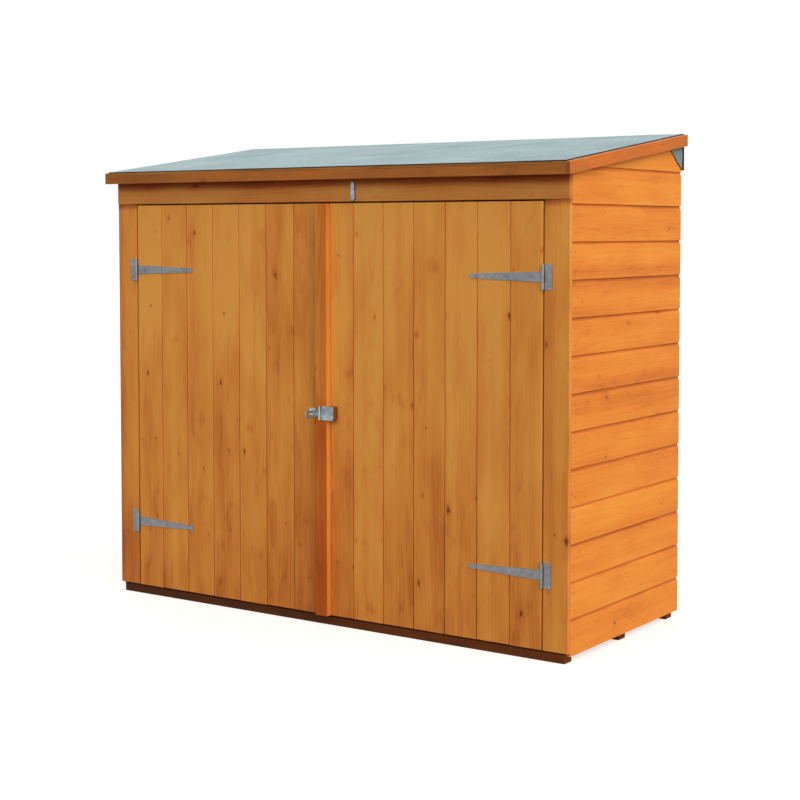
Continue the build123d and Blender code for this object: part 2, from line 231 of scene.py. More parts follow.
@dataclass(frozen=True)
class Softwood:
    """Planed or sawn spruce that was dipped in a wood stain.

    The eye sees soft growth rings running with each board, small smudged knots that the rings bend round, and
    a stain that went deeper in some boards and patches than in others, and deepest in the joints, where it
    also paints the shade. Each board carries two attributes: log, where its points lie in the tree in metres
    as across, along and through, and stain, how much it took up: 0 is pale, 1 deep, and near 2 it is as dark
    as a knot. In a few places it also holds painted shadow, painted shade and painted light.
    """

    name: str
    pale: str
    body: str
    deep: str
    knot: str
    ring_width: float = 9 * MM  # drawn about twice as wide as spruce rings so that they show
    ring_bend: float = 14 * MM
    ring_wander: float = 70 * MM
    ring_weight: float = 0.16
    ring_relief: float = 0.45
    late_wood: float = 2.4
    knot_across: float = 95 * MM
    knot_along: float = 330 * MM
    knot_stray: float = 0.9
    knot_oval: float = 0.55
    knot_smallest: float = 1.4 * MM
    knot_largest: float = 7.0 * MM
    knot_bias: float = 2.5
    knot_rim: tuple[float, float] = (1.5, 0.3)
    knot_share: float = 0.75
    knot_weight: float = 0.9
    swirl_fade: float = 0.55
    swirl_weight: float = 0.55
    ragged: Streaks = Streaks(7 * MM, 13 * MM, detail=2.0, weight=2.4)
    wander: Streaks = Streaks(110 * MM, 620 * MM, detail=1.5)
    band: Streaks = Streaks(50 * MM, 2600 * MM, detail=1.0, weight=0.9)
    fibre: Streaks = Streaks(3 * MM, 160 * MM, detail=2.0, weight=0.4)
    patch: Streaks = Streaks(70 * MM, 260 * MM, detail=3.0, weight=0.9)
    cloud: Streaks = Streaks(190 * MM, 420 * MM, detail=1.0, weight=0.8)
    blotch: Streaks = Streaks(60 * MM, 110 * MM, detail=2.0, weight=0.7)
    smudges: tuple[float, float] = (0.12, 0.5)
    mottle: float = 1.0
    shade_depths: tuple[float, float, float, float] = (0.0, 0.5, 1.0, 1.9)
    full_depth: float = 2.0
    roughness: float = 0.58
    gloss_swing: tuple[float, float] = (-0.06, 0.1)
    fibre_swing: float = 0.25
    relief: float = 0.35 * MM
    relief_strength: float = 0.6
    ior: float = 1.5
    specular: float = 0.22

    def material(self) -> Material:
        """Builds the finish out of nodes.

        Returns:
            The node material.
        """
        material, tree = new_material(self.name)
        add = partial(add_node, tree)
        place = add("Attribute", {}, "Vector", attribute_name="log")
        stain = add("Attribute", {}, "Fac", attribute_name="stain")

        # Knots: one in each cell of a flat pattern, ragged and mostly small, some faint and some left out
        cell = (1 / self.knot_across, 1 / self.knot_along, 0.0)
        spread = add("VectorMath", {0: place, 1: cell}, operation="MULTIPLY")
        cells = {"Vector": spread, "Scale": 1.0, "Randomness": self.knot_stray}
        middle = add("TexVoronoi", cells, "Position", voronoi_dimensions="2D")
        chance = add("TexVoronoi", cells, "Color", voronoi_dimensions="2D")
        real = add("VectorMath", {0: middle, 1: cell}, operation="DIVIDE")
        offset = add("VectorMath", {0: place, 1: real}, operation="SUBTRACT")
        oval = add("VectorMath", {0: offset, 1: (1.0, self.knot_oval, 0.0)}, operation="MULTIPLY")
        away = add("VectorMath", {0: oval}, "Value", operation="LENGTH")
        size_chance = add("SeparateColor", {0: chance}, 0)
        kept_chance = add("SeparateColor", {0: chance}, 1)
        kept = add("MapRange", {"Value": kept_chance, 1: self.knot_share, 2: 0.0})
        size_bias = add("Math", {0: size_chance, 1: self.knot_bias}, operation="POWER")
        size = add("MapRange", {"Value": size_bias, 3: self.knot_smallest, 4: self.knot_largest})
        sizes_away = add("Math", {0: away, 1: size}, operation="DIVIDE")
        ragged = self.ragged.add(tree, place)
        reach = add("Math", {0: ragged, 1: self.ragged.weight, 2: sizes_away}, operation="MULTIPLY_ADD")
        outer, inner = self.knot_rim
        disc = add("MapRange", {"Value": reach, 1: outer, 2: inner}, interpolation_type="SMOOTHSTEP")
        core = add("Math", {0: disc, 1: kept}, operation="MULTIPLY")
        fading = add("Math", {0: self.swirl_fade, 1: reach}, operation="POWER")
        swirl = add("Math", {0: fading, 1: kept}, operation="MULTIPLY")

        # Growth rings round the heart of the tree, which wanders along the board
        wander = self.wander.add(tree, place)
        section = add("VectorMath", {0: place, 1: (1.0, 0.0, 1.0)}, operation="MULTIPLY")
        radius = add("VectorMath", {0: section}, "Value", operation="LENGTH")
        for pattern, shift in ((wander, self.ring_wander), (swirl, self.ring_bend)):
            radius = add("Math", {0: pattern, 1: shift, 2: radius}, operation="MULTIPLY_ADD")
        turns = add("Math", {0: radius, 1: 1 / self.ring_width}, operation="MULTIPLY")
        growth = add("Math", {0: turns}, operation="FRACT")
        ring = add("Math", {0: growth, 1: self.late_wood}, operation="POWER")

        # The stain's depth gathers every change of colour, and one ramp turns it into the colour
        fibre = self.fibre.add(tree, place)
        faint, strong = self.smudges
        smudge = add("MapRange", {"Value": self.blotch.add(tree, place), 1: faint, 2: strong})
        depth = stain
        for pattern, weight in (
            (self.band.add(tree, place), self.band.weight),
            (self.patch.add(tree, place), self.patch.weight * self.mottle),
            (self.cloud.add(tree, place), self.cloud.weight * self.mottle),
            (fibre, self.fibre.weight),
            (smudge, self.blotch.weight * self.mottle),
            (ring, self.ring_weight),
            (swirl, self.swirl_weight),
            (core, self.knot_weight),
        ):
            depth = add("Math", {0: pattern, 1: weight, 2: depth}, operation="MULTIPLY_ADD")
        along_ramp = add("Math", {0: depth, 1: 1 / self.full_depth}, operation="MULTIPLY")
        shades = zip(self.shade_depths, (self.pale, self.body, self.deep, self.knot))
        stops = [(spot / self.full_depth, linear(shade)) for spot, shade in shades]
        colour = add("ValToRGB", {0: along_ramp}, stops=stops)

        glossier, duller = (self.roughness + swing for swing in self.gloss_swing)
        dull = {"Value": fibre, 1: -self.fibre_swing, 2: self.fibre_swing, 3: glossier, 4: duller}
        height = add("Math", {0: ring, 1: self.ring_relief, 2: fibre}, operation="MULTIPLY_ADD")
        raised = {"Height": height, "Distance": self.relief, "Strength": self.relief_strength}
        skin = {
            "Base Color": colour,
            "Roughness": add("MapRange", dull),
            "Normal": add("Bump", raised),
            "IOR": self.ior,
            "Specular IOR Level": self.specular,
        }
        add("OutputMaterial", {"Surface": add("BsdfPrincipled", skin)})
        return material


@dataclass(frozen=True)
class GalvanisedSteel:
    """Pressed steel, dipped in zinc: a dull blue-grey skin with a faint, cloudy crystal spangle."""

    name: str = "galvanised steel"
    light: str = "#878C90"
    dark: str = "#6C7176"
    shade_stops: tuple[float, float] = (0.35, 0.95)
    spangle: float = 9 * MM
    spangle_weight: float = 0.35
    cloud: float = 45 * MM
    cloud_detail: float = 4.0
    cloud_swing: tuple[float, float] = (0.3, 0.7)
    metallic: float = 0.85
    roughness: float = 0.38
    gloss_swing: tuple[float, float] = (-0.06, 0.1)
    relief: float = 0.1 * MM
    relief_strength: float = 0.25

    def material(self) -> Material:
        """Builds the finish out of nodes.

        Returns:
            The node material.
        """
        material, tree = new_material(self.name)
        add = partial(add_node, tree)
        place = add("TexCoord", {}, "Object")
        cells = {"Vector": place, "Scale": 1 / self.spangle}
        crystals = add("TexVoronoi", cells, "Color", feature="SMOOTH_F1")
        crystal = add("SeparateColor", {0: crystals}, 0)
        cloud = add("TexNoise", {"Vector": place, "Scale": 1 / self.cloud, "Detail": self.cloud_detail})
        shade = add("Math", {0: crystal, 1: self.spangle_weight, 2: cloud}, operation="MULTIPLY_ADD")
        shades = zip(self.shade_stops, (self.dark, self.light))
        colour = add("ValToRGB", {0: shade}, stops=[(spot, linear(tint)) for spot, tint in shades])
        thin, thick = self.cloud_swing
        glossier, duller = (self.roughness + swing for swing in self.gloss_swing)
        rough = add("MapRange", {"Value": cloud, 1: thin, 2: thick, 3: glossier, 4: duller})
        bump = add("Bump", {"Height": shade, "Distance": self.relief, "Strength": self.relief_strength})
        skin = {"Base Color": colour, "Metallic": self.metallic, "Roughness": rough, "Normal": bump}
        add("OutputMaterial", {"Surface": add("BsdfPrincipled", skin)})
        return material


@dataclass(frozen=True)
class MineralFelt:
    """Bitumen felt under pressed slate grit: matt, pale blue-grey, with a black core at its cut edges.

    The sheet's faces carry an attribute, core: how much of the bitumen shows, from none to all of it.
    """

    name: str = "mineral roofing felt"
    light: str = "#A9C4CF"
    body: str = "#98B4C1"
    dark: str = "#7C95A2"
    bitumen: str = "#35322E"
    shade_stops: tuple[float, float, float] = (0.3, 0.75, 1.0)
    grit: float = 2.5 * MM  # drawn coarser than slate grit so that it shows
    grit_weight: float = 0.55
    cloud: float = 240 * MM
    cloud_detail: float = 5.0
    roughness: float = 0.9
    relief: float = 0.5 * MM
    relief_strength: float = 0.4
    ior: float = 1.45
    specular: float = 0.2

    def material(self) -> Material:
        """Builds the finish out of nodes.

        Returns:
            The node material.
        """
        material, tree = new_material(self.name)
        add = partial(add_node, tree)
        place = add("TexCoord", {}, "Object")
        grains = add("TexVoronoi", {"Vector": place, "Scale": 1 / self.grit}, "Color")
        grain = add("SeparateColor", {0: grains}, 0)
        cloud = add("TexNoise", {"Vector": place, "Scale": 1 / self.cloud, "Detail": self.cloud_detail})
        depth = add("Math", {0: grain, 1: self.grit_weight, 2: cloud}, operation="MULTIPLY_ADD")
        shades = zip(self.shade_stops, (self.dark, self.body, self.light))
        faced = add("ValToRGB", {0: depth}, stops=[(spot, linear(shade)) for spot, shade in shades])

        # The mix's sockets 6 and 7 are its two colours, and its output 2 is the mixed one
        core = add("Attribute", {}, "Fac", attribute_name="core")
        layers = {0: core, 6: faced, 7: linear(self.bitumen)}
        raised = {"Height": grain, "Distance": self.relief, "Strength": self.relief_strength}
        skin = {
            "Base Color": add("Mix", layers, 2, data_type="RGBA"),
            "Roughness": self.roughness,
            "Normal": add("Bump", raised),
            "IOR": self.ior,
            "Specular IOR Level": self.specular,
        }
        add("OutputMaterial", {"Surface": add("BsdfPrincipled", skin)})
        return material


FINISHES: dict[Slot, Softwood | MineralFelt | GalvanisedSteel] = {
    Slot.SHIPLAP: Softwood(
        "dip stained shiplap spruce", "#E89E40", "#DF8934", "#C46D27", "#6E3B14", mottle=0.7
    ),
    Slot.DOOR: Softwood(
        "dip stained matchboard spruce",
        "#E4A24A",
        "#DA8E3D",
        "#BF6D2C",
        "#653511",
        knot_across=78 * MM,
        knot_along=260 * MM,
        mottle=1.3,
    ),
    Slot.TRIM: Softwood("dip stained planed spruce", "#E2A04A", "#CB7129", "#A8662A", "#562D10"),
    Slot.FRAMING: Softwood(
        "sawn spruce framing", "#DDB070", "#CF9853", "#B47A3D", "#7A491B", roughness=0.7, relief=0.6 * MM
    ),
    Slot.BEARER: Softwood(
        "pressure treated bearer timber", "#723A10", "#5C2D0B", "#421F05", "#2A1203", roughness=0.75
    ),
    Slot.FELT: MineralFelt(),
    Slot.STEEL: GalvanisedSteel(),
}

# A duller board than the rest of the trim, whose redder deep shade also colours the painted shadow under the
# fascia
HEADER_FINISH = Softwood("dip stained header spruce", "#D0934A", "#C6813A", "#B0541A", "#562D10")

# A redder strip, planed from another batch
STRIP_FINISH = Softwood(
    "dip stained strip spruce", "#E3994A", "#C97423", "#B05212", "#5A2C0E", mottle=0.6
)

# Smaller fittings that were plated, not dipped, and came out brighter
ZINC_FINISH = GalvanisedSteel("bright zinc plated steel", light="#A7B6BC", dark="#738289", roughness=0.28)

# Heads of plain wire nails, browned by the stain that ran into them
NAIL_FINISH = GalvanisedSteel("stained nail steel", light="#A86C38", dark="#7E4C24", roughness=0.55)


# Modelling by operators


def focus(*pieces: Piece) -> None:
    """Selects pieces, and nothing else.

    Args:
        pieces: The pieces, of which the first is made active.
    """
    bpy.ops.object.select_all(action="DESELECT")
    for piece in pieces:
        piece.select_set(True)
    bpy.context.view_layer.objects.active = pieces[0]


@contextmanager
def editing(piece: Piece, kind: str = "EDGE") -> Iterator[bmesh.types.BMesh]:
    """Opens a piece in edit mode with nothing selected, and closes it again.

    Args:
        piece: The piece to edit.
        kind: What is selected there, EDGE, FACE or VERT.

    Yields:
        The mesh that is being edited, for choosing what is selected.
    """
    focus(piece)
    bpy.ops.object.mode_set(mode="EDIT")
    bpy.ops.mesh.select_mode(type=kind)
    bpy.ops.mesh.select_all(action="DESELECT")
    yield bmesh.from_edit_mesh(piece.data)
    bpy.ops.object.mode_set(mode="OBJECT")


def pick_edges(mesh: bmesh.types.BMesh, test: Callable[[Vector, Vector], bool]) -> None:
    """Selects edges of a mesh in edit mode.

    Args:
        mesh: The mesh.
        test: Whether an edge is selected, by its middle and its direction.
    """
    for edge in mesh.edges:
        first, second = (corner.co for corner in edge.verts)
        if test((first + second) / 2, (second - first).normalized()):
            edge.select_set(True)


def pick_faces(mesh: bmesh.types.BMesh, test: Callable[[Vector, Vector], bool]) -> None:
    """Selects faces of a mesh in edit mode.

    Args:
        mesh: The mesh.
        test: Whether a face is selected, by its middle and its normal.
    """
    for face in mesh.faces:
        if test(face.calc_center_median(), face.normal):
            face.select_set(True)


def add_primitive(
    kind: Callable, name: str, scale: Sequence[float] = (1, 1, 1), **settings: object
) -> Piece:
    """Adds a primitive with nothing else selected, and with its place in its mesh.

    Args:
        kind: The operator that adds it.
        name: The piece's name.
        scale: How much it is stretched along its own axes.
        settings: The operator's settings.

    Returns:
        The new piece.
    """
    bpy.ops.object.select_all(action="DESELECT")
    kind(**settings)
    piece = bpy.context.object
    piece.name = name
    piece.scale = scale
    bpy.ops.object.transform_apply(location=True, rotation=True, scale=True)
    return piece


def add_block(name: str, low: Vector, high: Vector) -> Piece:
    """Adds a block between two corners."""
    middle = (low + high) / 2
    return add_primitive(bpy.ops.mesh.primitive_cube_add, name, scale=high - low, size=1, location=middle)


def copy_piece(piece: Piece, name: str, shift: Vector) -> Piece:
    """Copies a piece, with a mesh of its own.

    Args:
        piece: The piece.
        name: The copy's name.
        shift: How far its mesh is moved.

    Returns:
        The copy.
    """
    copy = bpy.data.objects.new(name, piece.data.copy())
    bpy.context.scene.collection.objects.link(copy)
    copy.data.transform(Matrix.Translation(shift))
    return copy


def copy_node(node: str, name: str) -> Piece:
    """Copies a CAD node's mesh as a clean piece: doubles merged, flat faces whole, no materials.

    Args:
        node: The node's name.
        name: The new piece's name.

    Returns:
        The new piece.
    """
    piece = bpy.data.objects.new(name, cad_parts[node].data.copy())
    bpy.context.scene.collection.objects.link(piece)
    piece.data.materials.clear()
    with editing(piece, "VERT"):
        bpy.ops.mesh.select_all(action="SELECT")
        bpy.ops.mesh.remove_doubles(threshold=MERGE)
        bpy.ops.mesh.dissolve_limited(angle_limit=math.radians(FLAT_ANGLE))
        bpy.ops.mesh.customdata_custom_splitnormals_clear()
    return piece


def cut_above(piece: Piece, point: Vector, normal: Vector) -> None:
    """Cuts away what lies beyond a plane and closes the cut.

    Args:
        piece: The piece, whose mesh changes.
        point: A point on the plane.
        normal: The way from the plane to what is cut away.
    """
    with editing(piece, "FACE"):
        bpy.ops.mesh.select_all(action="SELECT")
        bpy.ops.mesh.bisect(plane_co=point, plane_no=normal, use_fill=True, clear_outer=True)


def score(piece: Piece, axis: Vector, places: Sequence[float]) -> None:
    """Cuts lines round a piece, so that its stain can change there.

    Args:
        piece: The piece, whose mesh changes.
        axis: The direction that the lines lie across.
        places: Where they lie along it.
    """
    for place in places:
        with editing(piece, "FACE"):
            bpy.ops.mesh.select_all(action="SELECT")
            bpy.ops.mesh.bisect(plane_co=axis * place, plane_no=axis)


def modify(piece: Piece, name: str, kind: str, **settings: object) -> None:
    """Gives a piece a modifier and applies it.

    Args:
        piece: The piece, whose mesh changes.
        name: The modifier's name.
        kind: Its type.
        settings: Its own properties.
    """
    focus(piece)
    modifier = piece.modifiers.new(name, kind)
    for setting, value in settings.items():
        setattr(modifier, setting, value)
    bpy.ops.object.modifier_apply(modifier=modifier.name)


def ease(piece: Piece, width: float, segments: int = 2, angle: float = 40.0) -> None:
    """Rounds every sharp edge of a piece a little with a bevel.

    Args:
        piece: The piece, whose mesh changes.
        width: The bevel's width.
        segments: Facets across the bevel.
        angle: The least angle, in degrees, between faces that counts as sharp.
    """
    modify(
        piece,
        "eased edges",
        "BEVEL",
        width=width,
        segments=segments,
        limit_method="ANGLE",
        angle_limit=math.radians(angle),
        use_clamp_overlap=True,
    )


def smooth(piece: Piece, angle: float = 30.0) -> None:
    """Shades gentle turns smooth, and keeps broad faces flat.

    Args:
        piece: The piece.
        angle: The most angle, in degrees, that is shaded smooth.
    """
    focus(piece)
    bpy.ops.object.shade_smooth_by_angle(angle=math.radians(angle))
    modify(piece, "flat faces", "WEIGHTED_NORMAL", keep_sharp=True)


def copy_eased(node: str, name: str, width: float) -> Piece:
    """Copies a CAD node's mesh as a clean piece with eased edges.

    Args:
        node: The node's name.
        name: The new piece's name.
        width: How wide its edges are eased.

    Returns:
        The new piece.
    """
    piece = copy_node(node, name)
    ease(piece, width)
    return piece


def join(pieces: Sequence[Piece], name: str) -> Piece:
    """Joins pieces into one.

    Args:
        pieces: The pieces, of which the first takes in the others.
        name: The joined one's name.

    Returns:
        The joined piece.
    """
    focus(*pieces)
    if len(pieces) > 1:
        bpy.ops.object.join()
    joined = pieces[0]
    joined.name = name
    joined.data.name = name
    return joined


# Places, draws and grain


def corners(piece: Piece) -> np.ndarray:
    """Reads where a piece's points are.

    Args:
        piece: The piece.

    Returns:
        The points' places, one row each.
    """
    places = np.empty(3 * len(piece.data.vertices))
    piece.data.vertices.foreach_get("co", places)
    return places.reshape(-1, 3)


def seeded(seed: int) -> random.Random:
    """A field of draws from a seed, so that each run draws the same."""
    return field(default_factory=partial(random.Random, seed))


def spaced(start: float, end: float, shares: Sequence[float]) -> list[float]:
    """Places on the way from a start to an end, by their shares of it."""
    return [start + share * (end - start) for share in shares]


def split_run(start: float, end: float, width: float, gap: float) -> list[tuple[float, float]]:
    """Splits a run into boards that lie side by side.

    Args:
        start: Where the run starts.
        end: Where it ends.
        width: About how much room a board takes.
        gap: The gap from one board to the next.

    Returns:
        Each board's two edges.
    """
    count = round((end - start) / width)
    pitch = (end - start) / count
    return [
        (start + number * pitch + gap / 2, start + (number + 1) * pitch - gap / 2) for number in range(count)
    ]


def drain(heights: np.ndarray, foot: float, top: float) -> np.ndarray:
    """How much darker a board is towards its foot: a half at its foot, minus a half at its top."""
    return ((foot + top) / 2 - heights) / (top - foot)


def mark_grain(
    piece: Piece,
    draw: random.Random,
    stain: float,
    along: Vector | None = None,
    joint: Stain | None = None,
) -> None:
    """Writes where a board lay in its tree and how much stain it took, for the softwood finishes.

    Args:
        piece: One board.
        draw: Where the board's place in the tree is drawn from.
        stain: The stain's depth, from 0, pale, to 1, deep.
        along: The grain's direction, or nothing for the board's longest side.
        joint: What turns the points' places into extra stain, with painted shade and shadow in places, or
            nothing.
    """
    places = corners(piece)
    span = np.ptp(places, axis=0)
    grain = np.array(along.normalized()) if along else np.eye(3)[int(np.argmax(span))]
    thin = np.eye(3)[int(np.argmin(span + np.abs(grain) * span.max()))]
    wide = np.cross(grain, thin)
    aside = draw.uniform(-HEART_ASIDE, HEART_ASIDE)
    heart = np.array((aside, draw.uniform(0, TRUNK_RUN), draw.uniform(*HEART_DEPTHS)))
    local = places - (places.max(axis=0) + places.min(axis=0)) / 2
    tree = np.stack([local @ wide, local @ grain, local @ thin], axis=1) + heart
    lies = piece.data.attributes.new("log", "FLOAT_VECTOR", "POINT")
    lies.data.foreach_set("vector", tree.ravel())
    took = piece.data.attributes.new("stain", "FLOAT", "POINT")
    took.data.foreach_set("value", stain + (joint(places) if joint else np.zeros(len(places))))


def mark_boards(
    piece: Piece, draw: random.Random, stain: float, spread: float, along: Vector | None = None
) -> Piece:
    """Marks the grain of each loose board in a piece by itself.

    Args:
        piece: A piece of one or more boards that don't touch.
        draw: Where each board's stain and place in the tree are drawn from.
        stain: The boards' middle stain.
        spread: How far a board's stain may lie to either side.
        along: The grain's direction, or nothing for each board's longest side.

    Returns:
        The piece, joined again.
    """
    name = piece.name
    with editing(piece, "FACE"):
        bpy.ops.mesh.select_all(action="SELECT")
        bpy.ops.mesh.separate(type="LOOSE")
    parts = sorted(bpy.context.selected_objects, key=lambda part: part.name)
    for part in parts:
        mark_grain(part, draw, stain + draw.uniform(-spread, spread), along)
    return join(parts, name)


@dataclass
class Dresser:
    """Gives finished pieces their material, and their place in the frame."""

    materials: dict[Slot, Material] = field(init=False)
    header: Material = field(init=False)
    strip: Material = field(init=False)
    zinc: Material = field(init=False)
    nails: Material = field(init=False)

    def __post_init__(self) -> None:
        """Builds every finish once."""
        self.materials = {slot: finish.material() for slot, finish in FINISHES.items()}
        self.header = HEADER_FINISH.material()
        self.strip = STRIP_FINISH.material()
        self.zinc = ZINC_FINISH.material()
        self.nails = NAIL_FINISH.material()

    def settle(
        self, piece: Piece, body: Body, slot: Slot, *nodes: str, material: Material | None = None
    ) -> None:
        """Dresses a piece and makes it ride a body.

        Args:
            piece: A finished piece, with its place in its mesh.
            body: The body that carries it.
            slot: The record's slot that its finish comes from.
            nodes: The CAD nodes that it stands for.
            material: A finish of its own, or nothing for the slot's.
        """
        piece.data.materials.clear()
        piece.data.materials.append(material or self.materials[slot])
        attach(piece, body.value)
        if nodes:
            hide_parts(*nodes)
        log.info("%s: %d faces on %s, %s", piece.name, len(piece.data.polygons), body.value, slot.value)


# Roof plane that walls and boards are cut to


@dataclass(frozen=True)
class RoofPlane:
    """Underside of the roof boards, read from their node."""

    front: Vector
    normal: Vector
    slope: float

    @classmethod
    def from_frame(cls) -> "RoofPlane":
        """Reads the plane from the lowest corners at the front and the back of the roof boards.

        Returns:
            The plane.
        """
        places = corners(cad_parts["roof_boards"])
        front_y, back_y = places[:, 1].min(), places[:, 1].max()
        front_z = places[np.isclose(places[:, 1], front_y), 2].min()
        back_z = places[np.isclose(places[:, 1], back_y), 2].min()
        slope = math.atan2(back_z - front_z, back_y - front_y)
        normal = Vector((0, -math.sin(slope), math.cos(slope)))
        return cls(Vector((0, front_y, front_z)), normal, slope)

    def height(self, y: float) -> float:
        """Height of the underside at a depth."""
        return self.front.z + (y - self.front.y) * math.tan(self.slope)


# Fixings


@dataclass
class Fixings:
    """Nail heads and screw heads, modelled once each and set in rows."""

    nail_radius: float = 1.7 * MM
    nail_proud: float = 0.35 * MM
    nail_sides: int = 12
    clout_radius: float = 5.0 * MM
    clout_proud: float = 0.8 * MM
    rim_share: float = 0.25
    dish_share: float = 0.4
    screw_radius: float = 4.0 * MM
    screw_proud: float = 1.5 * MM
    screw_sides: int = 20
    dome_share: float = 0.75
    dome_segments: int = 3
    slot_share: float = 0.25
    arm_share: float = 0.62
    depth_share: float = 0.6

    def blank(self, sides: int, radius: float, proud: float) -> Piece:
        """A plain round head, half of it sunk below the origin."""
        cylinder = bpy.ops.mesh.primitive_cylinder_add
        return add_primitive(cylinder, "head", vertices=sides, radius=radius, depth=2 * proud)

    def nail(self, radius: float, proud: float) -> Piece:
        """Models one nail head with a dished top, pointing up at the origin.

        Args:
            radius: The head's radius.
            proud: How far it stands out.

        Returns:
            The head.
        """
        head = self.blank(self.nail_sides, radius, proud)
        with editing(head, "FACE") as mesh:
            pick_faces(mesh, lambda middle, normal: normal.z > STRAIGHT)
            bpy.ops.mesh.inset(thickness=radius * self.rim_share)
            bpy.ops.transform.translate(value=WORLD_Z * -proud * self.dish_share)
        return head

    def screw(self, size: float = 1.0) -> Piece:
        """Models one domed screw head with a cross recess, pointing up at the origin.

        Args:
            size: The head's size, as a share of the usual screw's.

        Returns:
            The head.
        """
        radius = self.screw_radius * size
        proud = self.screw_proud * size
        head = self.blank(self.screw_sides, radius, proud)
        with editing(head, "FACE") as mesh:
            pick_faces(mesh, lambda middle, normal: normal.z > STRAIGHT)
            bpy.ops.mesh.bevel(offset=proud * self.dome_share, segments=self.dome_segments, affect="EDGES")
        half = radius * self.slot_share / 2
        for axis in (WORLD_X, WORLD_Y):
            for sign in (-1, 1):
                with editing(head, "FACE") as mesh:
                    pick_faces(mesh, lambda middle, normal: normal.z > STRAIGHT)
                    bpy.ops.mesh.bisect(plane_co=axis * sign * half, plane_no=axis)
        arm = radius * self.arm_share
        with editing(head, "FACE") as mesh:
            pick_faces(
                mesh,
                lambda middle, normal: normal.z > STRAIGHT
                and middle.length < proud + arm
                and min(abs(middle.x), abs(middle.y)) < half,
            )
            bpy.ops.mesh.extrude_region_move(
                TRANSFORM_OT_translate={"value": WORLD_Z * -proud * self.depth_share}
            )
        return head

    def set_rows(self, head: Piece, name: str, places: Sequence[Vector], outward: Vector) -> Piece:
        """Sets copies of one head at each place, pointing outward, as one piece.

        Args:
            head: The head to copy, pointing up at the origin. It is deleted.
            name: The piece's name.
            places: Where the heads sit.
            outward: The way that they point.

        Returns:
            The joined heads.
        """
        turn = WORLD_Z.rotation_difference(outward).to_matrix().to_4x4()
        head.data.transform(turn)
        heads = [copy_piece(head, name, place) for place in places]
        bpy.data.objects.remove(head)
        return join(heads, name)


# The store's sub-assemblies


@dataclass
class Base:
    """Bearers on the ground and the floor boards across them."""

    floor_board: float = 95 * MM
    floor_gap: float = 1.2 * MM
    arris: float = 2.0 * MM
    floor_stains: tuple[float, float] = (0.25, 0.6)
    bearer_stains: tuple[float, float] = (0.35, 0.65)
    damp_stain: float = 0.6
    draw: random.Random = seeded(11)

    def build_floor(self) -> Piece:
        """Lays the floor boards front to back, side by side.

        Returns:
            The boards, as one piece.
        """
        low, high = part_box("floor_boards")
        boards = []
        for start, end in split_run(low.x, high.x, self.floor_board, self.floor_gap):
            board = add_block("floor_board", Vector((start, low.y, low.z)), Vector((end, high.y, high.z)))
            ease(board, self.floor_gap)
            mark_grain(board, self.draw, self.draw.uniform(*self.floor_stains), WORLD_Y)
            boards.append(board)
        return join(boards, "floor_planks")

    def damp_end(self, places: np.ndarray) -> np.ndarray:
        """How much darker a bearer is towards its left end, where the ground kept it damp."""
        across = places[:, 0]
        return self.damp_stain * (across.max() - across) / np.ptp(across)

    def dress(self, dresser: Dresser) -> None:
        """Builds and settles the base.

        Args:
            dresser: What dresses the pieces.
        """
        dresser.settle(self.build_floor(), Body.STORE, Slot.FRAMING, "floor_boards")
        for node in ("front_bearer", "middle_bearer", "back_bearer"):
            bearer = copy_eased(node, f"{node}_timber", self.arris)
            mark_grain(bearer, self.draw, self.draw.uniform(*self.bearer_stains), WORLD_X, self.damp_end)
            dresser.settle(bearer, Body.STORE, Slot.BEARER, node)


